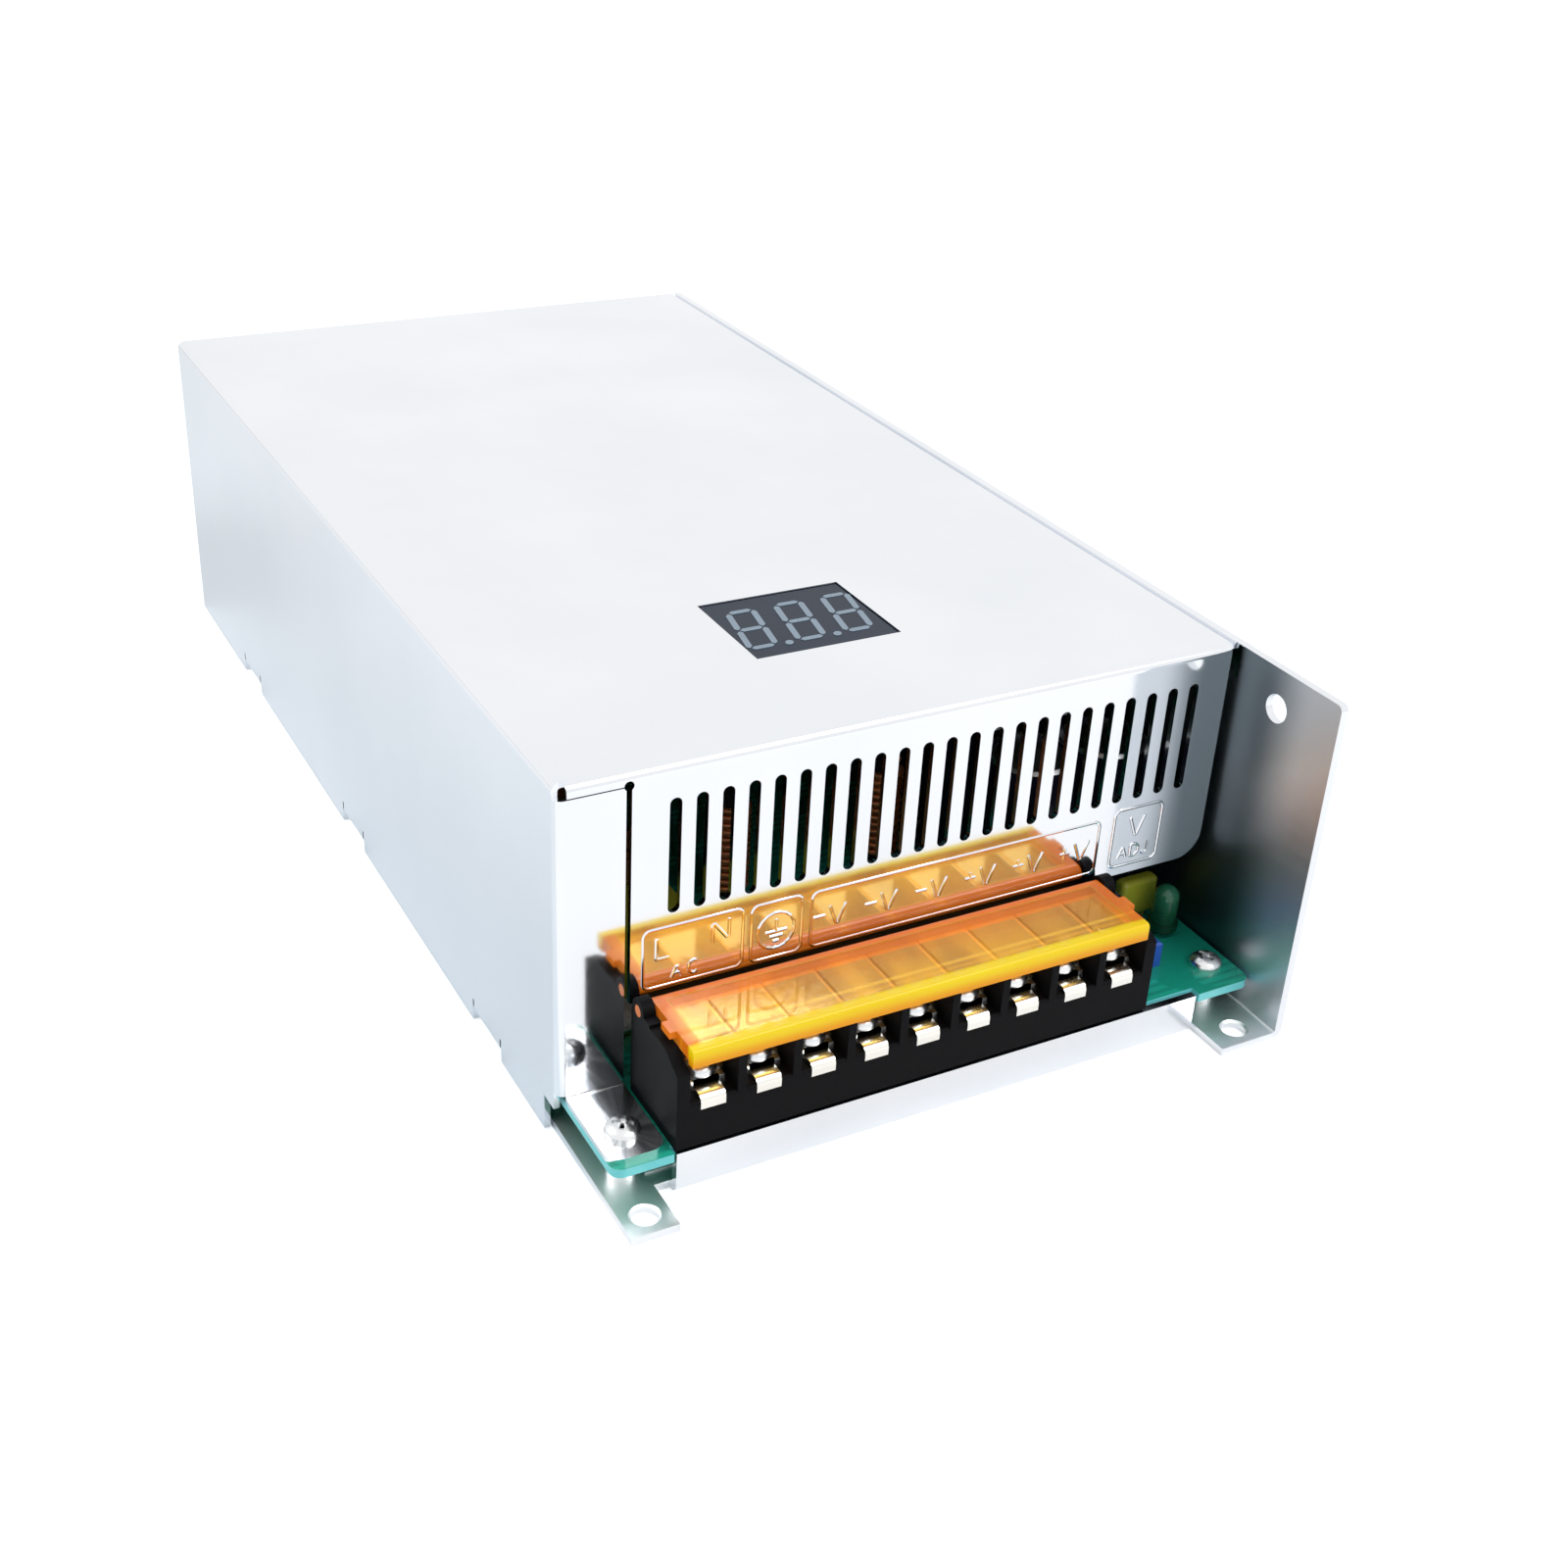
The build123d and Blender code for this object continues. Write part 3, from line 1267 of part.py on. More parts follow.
nodes = {
    "chassis": make_chassis(),
    "cover": make_cover(),
    "mounting_nuts": make_mounting_nuts(),
    "board_standoffs": make_board_standoffs(),
    "insulating_sheet": make_insulating_sheet(),
    "circuit_board": make_circuit_board(),
    "board_screws": make_board_screws(),
    "floor_screws": make_cover_screws(floor_screw_places(), (0, 0, -1), floor_screw_length),
    "side_screws": make_cover_screws(side_screw_places(), (1, 0, 0), side_screw_length),
    "terminal_block": make_terminal_block(),
    "terminal_tags": make_terminal_tags(),
    "terminal_cover": make_terminal_cover(),
    "trimmer_body": make_trimmer(),
    "trimmer_rotor": make_trimmer_rotor(),
    "indicator_lamp": make_indicator_lamp(),
    "corner_film_capacitor": make_corner_film_capacitor(),
    "display_module": make_display_module(),
    "meter_board": make_meter_board(),
    "meter_studs": make_meter_studs(),
    "meter_nuts": make_meter_nuts(),
    "fan_frame": make_fan_frame(),
    "fan_stator": make_fan_stator(),
    "fan_rotor": make_fan_rotor(),
    "fan_screws": make_fan_screws(),
    "input_fuse": make_input_fuse(),
    "fuse_clips": make_fuse_clips(),
    "inrush_thermistor": make_thermistor(),
    "line_film_capacitor": soldered_box(film_box, (x_left + film_box_x, film_box_y)),
    "line_choke_core": make_line_choke_core(),
    "line_choke_windings": make_line_choke_windings(),
    "bridge_rectifier": make_bridge_rectifier(),
    "bulk_capacitors": make_bulk_capacitors(),
    "output_capacitors": make_output_capacitors(),
    "rod_choke_cores": make_rod_choke_cores(),
    "rod_choke_windings": make_rod_choke_windings(),
    "transformer_core": make_transformer_core(),
    "transformer_winding": make_transformer_winding(),
    "storage_choke_core": make_storage_choke_core(),
    "storage_choke_winding": make_storage_choke_winding(),
    "drive_transformer": soldered_box(drive_box, (x_left + drive_x, drive_y)),
    "control_board": make_control_board(),
    "power_packages": make_power_packages(),
    "clamp_bar": make_clamp_bar(),
    "clamp_screws": make_cover_screws(clamp_screw_places(), (1, 0, 0), clamp_screw_length),
}
for number, x in enumerate(terminal_xs(), start=1):
    nodes[f"terminal_screw_{number}"] = make_terminal_screw(x)

os.makedirs("parts", exist_ok=True)
for name, part in nodes.items():
    export_step(part, f"parts/{name}.step")
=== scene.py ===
# %% [markdown]
# # An enclosed power supply with a voltmeter window
#
# The real object is a case folded from two thin metal sheets. On its front stand a black terminal
# block with a clear amber cover, a small green lamp and a blue trimmer. The solids come ready made
# as a frame that never moves. This lesson gives each of them its finish, and adds the small things
# that solids leave out: recesses in the screws, pressed marks, display digits, turns of wire.

# %% Load the frame
from math import cos, pi, radians, sin
from random import Random
import bmesh
import bpy
from mathutils import Matrix, Vector


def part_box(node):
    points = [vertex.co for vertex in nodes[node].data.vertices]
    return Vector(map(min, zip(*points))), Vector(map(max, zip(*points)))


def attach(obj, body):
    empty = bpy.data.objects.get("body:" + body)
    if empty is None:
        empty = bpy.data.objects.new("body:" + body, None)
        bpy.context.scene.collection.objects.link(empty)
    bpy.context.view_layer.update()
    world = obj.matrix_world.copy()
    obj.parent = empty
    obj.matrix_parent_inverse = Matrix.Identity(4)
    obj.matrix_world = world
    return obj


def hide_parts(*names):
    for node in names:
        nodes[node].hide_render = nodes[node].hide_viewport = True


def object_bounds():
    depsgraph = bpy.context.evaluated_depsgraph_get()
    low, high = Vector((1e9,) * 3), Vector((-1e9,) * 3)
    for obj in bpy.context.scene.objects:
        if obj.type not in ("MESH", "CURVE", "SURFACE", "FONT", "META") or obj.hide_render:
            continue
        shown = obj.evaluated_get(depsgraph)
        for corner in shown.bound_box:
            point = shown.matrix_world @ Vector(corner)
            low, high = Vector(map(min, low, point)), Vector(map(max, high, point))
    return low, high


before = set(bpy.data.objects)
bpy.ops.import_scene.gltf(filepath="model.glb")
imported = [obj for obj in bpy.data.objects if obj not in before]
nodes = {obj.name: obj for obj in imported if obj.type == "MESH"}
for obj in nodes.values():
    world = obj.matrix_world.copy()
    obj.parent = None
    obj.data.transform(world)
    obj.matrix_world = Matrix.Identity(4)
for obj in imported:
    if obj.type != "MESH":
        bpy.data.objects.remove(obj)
cad_low, cad_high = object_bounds()
MM = 0.001
print("solids:", len(nodes), "size in mm:", [round(v / MM, 1) for v in cad_high - cad_low])

# %% [markdown]
# ## The camera
#
# A camera could be placed by eye. Here its place was worked out from edges whose real lengths are
# known, so the picture can be laid over the photograph. It stands left of the front, a third of a
# right angle above the table, and leans a few degrees.

# %% Place the camera
camera_place = Vector((-154.67, -323.21, 204.38)) * MM
camera_turn, camera_height, camera_roll = -29.79, 29.46, 3.23
camera_data = bpy.data.cameras.new("camera")
camera_data.sensor_width = 36.0
camera_data.lens = 45.58
camera = bpy.data.objects.new("camera", camera_data)
bpy.context.scene.collection.objects.link(camera)
camera.matrix_world = (Matrix.Translation(camera_place)
                       @ Matrix.Rotation(radians(camera_turn), 4, "Z")
                       @ Matrix.Rotation(radians(90 - camera_height), 4, "X")
                       @ Matrix.Rotation(radians(camera_roll), 4, "Z"))
bpy.context.scene.camera = camera
bpy.context.scene.view_settings.view_transform = "Standard"
print("camera distance in mm:", round(camera_place.length / MM))

# %% [markdown]
# ## Writing node trees as sums
#
# Node trees can be drawn by hand, but a drawing is hard to read as text. Two small classes turn a
# tree into ordinary Python: `Value` is a socket that can be added, multiplied or compared, and
# `Tree.node` adds any other node from its type, its settings and its sockets.

# %% Classes for node trees
class Value:
    """A socket that takes part in sums. Each operator adds one Math node."""

    def __init__(self, tree, socket):
        self.tree, self.socket = tree, socket

    def calc(self, operation, *terms):
        return self.tree.node("ShaderNodeMath", {"operation": operation}, dict(enumerate(terms)))

    def __add__(self, other):
        return self.calc("ADD", self, other)

    def __radd__(self, other):
        return self.calc("ADD", other, self)

    def __sub__(self, other):
        return self.calc("SUBTRACT", self, other)

    def __rsub__(self, other):
        return self.calc("SUBTRACT", other, self)

    def __mul__(self, other):
        return self.calc("MULTIPLY", self, other)

    def __truediv__(self, other):
        return self.calc("DIVIDE", self, other)

    def __gt__(self, other):
        return self.calc("GREATER_THAN", self, other)

    def __lt__(self, other):
        return self.calc("LESS_THAN", self, other)

    def size(self):
        return self.calc("ABSOLUTE", self)

    def either(self, other):
        """The larger of two; with masks, 1 where one of them is 1."""
        return self.calc("MAXIMUM", self, other)

    def repeat(self, period):
        return self.calc("FLOORED_MODULO", self, period)


class Tree:
    """A node tree that is filled from Python."""

    def __init__(self, nodes_owner):
        self.data = nodes_owner
        self.data.nodes.clear()

    def plug(self, item, socket):
        if isinstance(item, Value):
            self.data.links.new(item.socket, socket)
        elif isinstance(item, tuple) and len(item) == 3 and socket.type == "RGBA":
            socket.default_value = (*item, 1.0)
        else:
            socket.default_value = item

    def node(self, kind, settings=None, sockets=None, out=0):
        """Add a node: settings first, then sockets, and give back one of its outputs."""
        made = self.data.nodes.new(kind)
        for key, item in (settings or {}).items():
            setattr(made, key, item)
        for key, item in (sockets or {}).items():
            if isinstance(key, int):
                self.plug(item, made.inputs[key])
            else:
                self.plug(item, next(s for s in made.inputs if s.enabled and s.name == key))
        if not len(made.outputs):
            return made
        if isinstance(out, int):
            return Value(self, [s for s in made.outputs if s.enabled][out])
        return Value(self, made.outputs[out])

    def ray(self, kind):
        """1 for rays of one kind, such as Camera or Glossy, and 0 for all others."""
        return self.node("ShaderNodeLightPath", out=f"Is {kind} Ray")

    def place(self):
        """Object coordinates, in metres, as three values."""
        return self.split(self.node("ShaderNodeTexCoord", out="Object"))

    def normal(self):
        return self.split(self.node("ShaderNodeNewGeometry", out="Normal"))

    def split(self, vector):
        parts = self.data.nodes.new("ShaderNodeSeparateXYZ")
        self.plug(vector, parts.inputs[0])
        return [Value(self, s) for s in parts.outputs]

    def stretched(self, scale):
        """Object coordinates, drawn out or squeezed for brushed and layered patterns."""
        vector = self.node("ShaderNodeTexCoord", out="Object")
        return self.node("ShaderNodeMapping", None, {"Vector": vector, "Scale": scale})

    def noise(self, scale, detail=3.0, stretch=(1.0, 1.0, 1.0)):
        return self.node("ShaderNodeTexNoise", None, {"Vector": self.stretched(stretch),
                         "Scale": scale, "Detail": detail}, out="Fac")

    def blend(self, amount, first, second):
        """Colour between first and second."""
        return self.node("ShaderNodeMix", {"data_type": "RGBA"},
                         {"Factor": amount, "A": first, "B": second})

    def between(self, amount, low, high):
        """Number between low and high, amount held from 0 to 1."""
        return self.node("ShaderNodeMapRange", {"clamp": True},
                         {"Value": amount, "To Min": low, "To Max": high})

    def step(self, amount, low, high):
        """Soft step from 0 at low to 1 at high."""
        return self.node("ShaderNodeMapRange", {"clamp": True, "interpolation_type": "SMOOTHSTEP"},
                         {"Value": amount, "From Min": low, "From Max": high})

    def bump(self, height, depth):
        return self.node("ShaderNodeBump", None, {"Height": height, "Distance": depth})


def finish(name):
    """A new material and the tree inside it."""
    material = bpy.data.materials.new(name)
    material.use_nodes = True
    return material, Tree(material.node_tree)


def close_finish(tree, shader):
    tree.node("ShaderNodeOutputMaterial", None, {"Surface": shader})


def mixed(tree, share, first, second):
    """Two shaders in one; share is that of the second, from 0 to 1."""
    return tree.node("ShaderNodeMixShader", None, {"Fac": share, 1: first, 2: second})


def coated(tree, **sockets):
    """Principled shader; keyword names are its sockets with spaces written as underscores."""
    return tree.node("ShaderNodeBsdfPrincipled", None,
                     {key.replace("_", " "): item for key, item in sockets.items()})


FACING = 0.5  # a face points along an axis when that part of its normal is larger
print("node classes ready")

# %% [markdown]
# ## Light, floor and background
#
# The photograph is a cut-out on white with soft light from all round. Two large lamps could light
# it alone, but bright metal shows its surroundings, so the surroundings matter more than the lamps.
# The world is white to the camera, in reflections and through clear parts, and only half as bright
# as a light. The floor has painted shade: it is a pale blue-grey close to the case, and almost white
# in front of it and far to its left. It also glows a little, so that it melts into the white, and in
# reflections it glows more in front of the case, a painted reflection on the metal that faces it.

# %% World and lamps
world = bpy.data.worlds.new("studio")
bpy.context.scene.world = world
world.use_nodes = True
sky = Tree(world.node_tree)
seen = sky.ray("Camera").either(sky.ray("Glossy")).either(sky.ray("Transmission"))
ambient = 0.55
background = sky.node("ShaderNodeBackground", None,
                      {"Color": (1.0, 1.0, 1.0), "Strength": ambient + seen * (1.0 - ambient)})
sky.node("ShaderNodeOutputWorld", None, {"Surface": background})


def add_lamp(name, place, target, width, power):
    """Square soft lamp turned toward a target; sizes in metres."""
    data = bpy.data.lights.new(name, "AREA")
    data.size = width
    data.energy = power
    lamp = bpy.data.objects.new(name, data)
    bpy.context.scene.collection.objects.link(lamp)
    lamp.location = place
    lamp.rotation_mode = "QUATERNION"
    lamp.rotation_quaternion = (Vector(target) - Vector(place)).to_track_quat("-Z", "Y")


middle = (0.0, 0.0, 0.03)
add_lamp("key_lamp", (0.45, -0.75, 0.95), middle, width=0.55, power=5.5)
add_lamp("fill_lamp", (-0.85, 0.35, 0.75), middle, width=0.6, power=4.0)

# %% Floor
floor_material, tree = finish("floor_white")
x, y, _ = tree.place()
speckle = tree.noise(900.0, 2.0)
# Painted shade: the floor is blue-grey near the case and pales in front of it, far to its left and
# toward the rear.
away_left = tree.step(cad_low.x - x, 0.0, 130.0 * MM)
in_front = tree.step(cad_low.y - y, -22.0 * MM, -9.0 * MM)
at_rear = tree.step(y, cad_low.y, cad_high.y)
paleness = in_front.either(away_left * 0.7 + at_rear * 0.4)
shade = tree.blend(speckle, (0.74, 0.82, 0.88), (0.78, 0.855, 0.905))
matt = coated(tree, Base_Color=tree.blend(paleness, shade, (0.93, 0.945, 0.96)), Roughness=0.9)
# The glow seen by the camera makes the backdrop white; the extra glow in reflections, strongest in
# front of the case, is a painted reflection.
seen_glow, mirrored_glow, front_painted_glow = 0.55, 0.06, 0.13
lift = tree.ray("Camera").either(tree.ray("Transmission")) * seen_glow
lift = lift + tree.ray("Glossy") * (mirrored_glow + in_front * front_painted_glow)
lifted = tree.node("ShaderNodeEmission", None, {"Color": (1.0, 1.0, 1.0), "Strength": lift})
close_finish(tree, tree.node("ShaderNodeAddShader", None, {0: matt, 1: lifted}))

floor_mesh = bpy.data.meshes.new("floor")
reach = 3.0
floor_mesh.from_pydata([(-reach, -reach, 0), (reach, -reach, 0), (reach, reach, 0),
                        (-reach, reach, 0)], [], [(0, 1, 2, 3)])
floor_mesh.materials.append(floor_material)
floor = bpy.data.objects.new("floor", floor_mesh)
bpy.context.scene.collection.objects.link(floor)
print("floor is", 2 * reach, "m wide")

# %% [markdown]
# ## Sheet metal
#
# Both sheets are bright plated metal: a satin mirror. A mirror that is perfectly even looks
# like plastic, so three faint things break it up: long rolling marks in the roughness, slow waves
# that bend reflections as real sheet does, and a cloudiness of the plating. A few places differ
# from the rest of their sheet. Two functions find them by place and by direction, and change the
# colour and the roughness there.

# %% Sheet metal finish
def metal_finish(name, light, dark, smooth, rough, local=None):
    """Plated or rolled metal; local may change colour and roughness in some places."""
    material, tree = finish(name)
    cloud = tree.noise(26.0, 4.0)
    grain = tree.noise(900.0, 3.0, (1.0, 0.06, 1.0))
    scratch = tree.noise(2600.0, 2.0, (1.0, 0.02, 1.0))
    patches = tree.between(cloud, -0.6, 1.6)
    base = tree.blend(patches, dark, light)
    shine = tree.between(grain * 0.6 + cloud * 0.4, smooth, rough)
    waves = tree.noise(14.0, 1.0)
    relief = tree.bump(waves + scratch * 0.004, 0.02 * MM)
    if local:
        base, shine = local(tree, base, shine)
    close_finish(tree, coated(tree, Base_Color=base, Metallic=1.0, Roughness=shine, Normal=relief))
    return material


def chassis_places(tree, base, shine):
    """The right wall's inside is rougher and has painted shade, painted lighter toward its front;
    the tabs are satin.
    """
    low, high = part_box("chassis")
    block_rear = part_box("terminal_block")[1].y
    x, y, z = tree.place()
    nx, _, nz = tree.normal()
    below_top = z < high.z - 6.0 * MM
    inside = (nx < -FACING) * (x > high.x - 2.5 * MM) * (y < block_rear).either(below_top)
    # Painted shade: the inner face of the right wall is dark grey, painted lighter toward its front
    # edge.
    painted_light_at_front = 1 - tree.step(y, low.y + 6.0 * MM, low.y + 18.0 * MM)
    painted_inner_shade = tree.blend(painted_light_at_front, (0.13, 0.16, 0.18), (0.66, 0.70, 0.74))
    tabs = (nz > FACING) * (z < 3.0 * MM)
    base = tree.blend(tabs, tree.blend(inside, base, painted_inner_shade), (0.95, 0.97, 0.98))
    return base, shine + inside * 0.30 + tabs * 0.34


def cover_places(tree, base, shine):
    """The foot under the front strip shows rays of brushing, with light and dark streaks of
    reflection painted into its colour, and the louvred panel is smoother.
    """
    head_radius, foot_top = 2.9 * MM, 12.0 * MM
    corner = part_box("board_screws")[0]
    x, y, z = tree.place()
    _, ny, nz = tree.normal()
    across, along = x - corner.x - head_radius, y - corner.y - head_radius
    angle = across.calc("ARCTAN2", along, across)
    rays = tree.node("ShaderNodeTexNoise", {"noise_dimensions": "1D"},
                     {"W": angle, "Scale": 2.2, "Detail": 3.0}, out="Fac")
    foot = (nz > FACING) * (z < foot_top)
    panel = ny < -FACING
    # Rays of brushing with painted reflection: the foot's colour swings between dark and bright
    # streaks.
    brushed_and_painted_rays = tree.blend(tree.step(rays, 0.34, 0.62), (0.50, 0.52, 0.55), (0.96, 0.97, 0.98))
    shine = shine + foot * tree.between(rays, 0.0, 0.16) - panel * 0.04
    return tree.blend(foot, base, brushed_and_painted_rays), shine


cover_metal = metal_finish("cover_metal", (0.89, 0.905, 0.935), (0.83, 0.855, 0.89), 0.08, 0.17,
                           cover_places)
chassis_metal = metal_finish("chassis_metal", (0.89, 0.905, 0.935), (0.83, 0.855, 0.89), 0.05, 0.14,
                             chassis_places)
zinc_steel = metal_finish("zinc_steel", (0.90, 0.905, 0.90), (0.76, 0.78, 0.80), 0.18, 0.34)
tag_plate = metal_finish("tag_plate", (0.97, 0.955, 0.90), (0.86, 0.84, 0.77), 0.16, 0.34)
bar_metal = metal_finish("bar_metal", (0.78, 0.79, 0.80), (0.62, 0.63, 0.65), 0.25, 0.45)

# %% [markdown]
# ## Plastics, coatings and ceramics
#
# Most small parts are moulded, dipped or fired. They share one recipe: two close colours mixed by
# a cloud, a roughness that wanders, and a fine bump that stands for the mould's own texture.

# %% Moulded finishes
def moulded_finish(name, light, dark, smooth, rough, texture=3000.0, depth=0.02 * MM,
                   shine_level=0.5):
    """Moulded, dipped or fired surface; texture is the scale of its pores, depth their size."""
    material, tree = finish(name)
    cloud = tree.noise(60.0, 4.0)
    pores = tree.noise(texture, 2.0)
    base = tree.blend(cloud * 0.7 + pores * 0.3, dark, light)
    shine = tree.between(cloud, smooth, rough)
    close_finish(tree, coated(tree, Base_Color=base, Roughness=shine,
                              Specular_IOR_Level=shine_level, Normal=tree.bump(pores, depth)))
    return material


block_black = moulded_finish("block_black", (0.007, 0.007, 0.008), (0.003, 0.003, 0.004),
                             0.42, 0.58, shine_level=0.06)
trimmer_blue = moulded_finish("trimmer_blue", (0.03, 0.13, 0.62), (0.02, 0.09, 0.48), 0.25, 0.4)
trimmer_white = moulded_finish("trimmer_white", (0.82, 0.82, 0.78), (0.72, 0.72, 0.68), 0.3, 0.45)
film_yellow = moulded_finish("film_yellow", (0.62, 0.62, 0.06), (0.48, 0.50, 0.04), 0.14, 0.3)
ferrite = moulded_finish("ferrite", (0.045, 0.045, 0.048), (0.018, 0.018, 0.02), 0.55, 0.8,
                         texture=1500.0, depth=0.06 * MM)
ceramic_white = moulded_finish("ceramic_white", (0.83, 0.82, 0.78), (0.74, 0.73, 0.69), 0.2, 0.35)
ceramic_dark = moulded_finish("ceramic_dark", (0.03, 0.06, 0.045), (0.015, 0.03, 0.025), 0.3, 0.5)
package_black = moulded_finish("package_black", (0.022, 0.022, 0.024), (0.012, 0.012, 0.013),
                               0.42, 0.6, depth=0.03 * MM)
winding_tape = moulded_finish("winding_tape", (0.80, 0.62, 0.10), (0.66, 0.48, 0.06), 0.22, 0.4)
clear_film = moulded_finish("clear_film", (0.74, 0.77, 0.78), (0.66, 0.70, 0.72), 0.2, 0.4)
print("moulded finishes ready")

# %% Circuit board finish
def board_finish():
    """Green lacquer over copper tracks, with the pale blue-green of the cut edge."""
    material, tree = finish("board_green")
    y = tree.place()[1]
    edge = tree.normal()[2].size() < FACING
    track_pitch = 1.9 * MM
    lane = (y / track_pitch).repeat(1.0)
    wander = tree.noise(110.0, 0.0)
    track = (lane > 0.42) * (wander > 0.5)
    weave = tree.noise(2400.0, 1.0, (1.0, 0.3, 1.0))
    lacquer = tree.blend(track, (0.008, 0.31, 0.21), (0.016, 0.43, 0.30))
    lacquer = tree.blend(weave * 0.25, lacquer, (0.03, 0.50, 0.38))
    base = tree.blend(edge, lacquer, (0.16, 0.68, 0.70))
    relief = tree.bump(track + weave * 0.3, 0.03 * MM)
    close_finish(tree, coated(tree, Base_Color=base, Roughness=tree.between(wander, 0.16, 0.32),
                              Normal=relief))
    return material


board_green = board_finish()

# %% Finishes of the parts inside
def sleeve_finish():
    """Dark shrink sleeve with a pale stripe, and the bare aluminium end of the can above it."""
    material, tree = finish("sleeve_dark")
    nx, _, nz = tree.normal()
    can_end, stripe = nz > 0.6, nx > 0.93
    cloud = tree.noise(80.0, 2.0)
    sleeve = tree.blend(stripe, (0.012, 0.014, 0.03), (0.45, 0.47, 0.52))
    base = tree.blend(can_end, sleeve, (0.72, 0.73, 0.74))
    close_finish(tree, coated(tree, Base_Color=base, Metallic=can_end,
                              Roughness=tree.between(cloud, 0.22, 0.36)))
    return material


def wire_finish():
    """Enamelled copper: bright metal under a warm lacquer."""
    material, tree = finish("copper_wire")
    tint = tree.noise(220.0, 2.0)
    base = tree.blend(tint, (0.90, 0.24, 0.08), (1.0, 0.40, 0.16))
    close_finish(tree, coated(tree, Base_Color=base, Metallic=0.45,
                              Roughness=tree.between(tint, 0.2, 0.38), Coat_Weight=0.4))
    return material


def display_finish():
    """Dark tinted resin of the display, glossy, with a faint cast of blue."""
    material, tree = finish("display_dark")
    cloud = tree.noise(120.0, 3.0)
    base = tree.blend(cloud, (0.010, 0.018, 0.036), (0.018, 0.030, 0.055))
    close_finish(tree, coated(tree, Base_Color=base, Roughness=tree.between(cloud, 0.28, 0.42),
                              Specular_IOR_Level=0.2))
    return material


def lamp_finish():
    """Clear green lens: coloured through, with a painted highlight that makes it paler toward its
    dome.
    """
    material, tree = finish("lamp_green")
    low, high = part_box("indicator_lamp")
    rise = tree.step(tree.place()[2], low.z, high.z)
    # Painted highlight: the green grows paler with height.
    base = tree.blend(rise, (0.004, 0.07, 0.03), (0.05, 0.32, 0.17))
    close_finish(tree, coated(tree, Base_Color=base, Roughness=0.08, Transmission_Weight=0.45,
                              IOR=1.5))
    return material


sleeve_dark = sleeve_finish()
copper_wire = wire_finish()
display_dark = display_finish()
lamp_green = lamp_finish()

# %% [markdown]
# ## Amber cover
#
# Clear amber plastic is brown where it is thin and dark behind, and orange-red at its cut ends. Its
# thick lip is bright yellow, a painted highlight. A glass shader would leave the terminals under
# it in the dark, because light doesn't pass straight through glass in a render. So the pane is
# mixed from three: a tinted see-through part, a thin veil of resin with a painted glow, and the
# gloss of its skin. The lip, the rear edge and the two ends are denser and brighter; the lip's
# brightness is painted. The pane's glow and colour are painted lighter toward the front and darker
# toward the right. Where a point lies on the cover decides how much of each it gets.

# %% Amber finish
def amber_zones(tree, x, y, low, high):
    """How far a point belongs to the front lip, to the rear edge and to the two ends."""
    front = 1 - tree.step(y, low.y + 1.3 * MM, low.y + 2.3 * MM)
    rear = tree.step(y, high.y - 2.6 * MM, high.y - 1.8 * MM)
    left_end = 1 - tree.step(x - low.x, 4.2 * MM, 4.9 * MM)
    right_end = 1 - tree.step(high.x - x, 4.2 * MM, 4.9 * MM)
    return front, rear, left_end.either(right_end)


def amber_pane(tree, streak, x, y, low, high):
    """The clear part: see-through, with a veil of resin that has a painted glow."""
    toward_front = 1 - tree.step(y, low.y, high.y)
    toward_right = tree.step(x, low.x, high.x)
    flow = tree.step(tree.noise(170.0, 2.0, (1.0, 0.25, 0.25)), 0.35, 0.65)
    painted_highlight_line = tree.step(y, low.y + 3.6 * MM, low.y + 4.0 * MM) * (
        1 - tree.step(y, low.y + 4.3 * MM, low.y + 4.8 * MM))
    # Painted glow: brighter and yellower toward the front, weaker along flow streaks, painted darker
    # toward the right, with a painted bright line near the front edge.
    painted_glow = tree.blend(toward_front, (0.62, 0.20, 0.0), (1.0, 0.56, 0.0))
    painted_glow = tree.blend(flow, painted_glow, (0.30, 0.12, 0.0))
    painted_glow = tree.blend(toward_right * 0.5, painted_glow, (0.26, 0.08, 0.0))
    painted_glow = tree.blend(painted_highlight_line, painted_glow, (1.0, 0.62, 0.02))
    # The resin's colour is also painted lighter toward the front.
    body_colour = tree.blend(toward_front, (0.90, 0.30, 0.03), (1.0, 0.52, 0.03))
    resin = coated(tree, Base_Color=tree.blend(streak * 0.7, body_colour, (0.80, 0.36, 0.05)),
                   Roughness=tree.between(streak, 0.04, 0.10), Emission_Color=painted_glow,
                   Emission_Strength=1.3)
    see_through = tree.node("ShaderNodeBsdfTransparent", None, {"Color": (1.0, 0.87, 0.50)})
    gloss = coated(tree, Base_Color=(1.0, 1.0, 1.0), Metallic=1.0, Roughness=0.04)
    veil_share, gloss_share = 0.22, 0.25
    sheen = tree.node("ShaderNodeFresnel", None, {"IOR": 1.5}) * gloss_share
    return mixed(tree, sheen, mixed(tree, veil_share, see_through, resin), gloss)


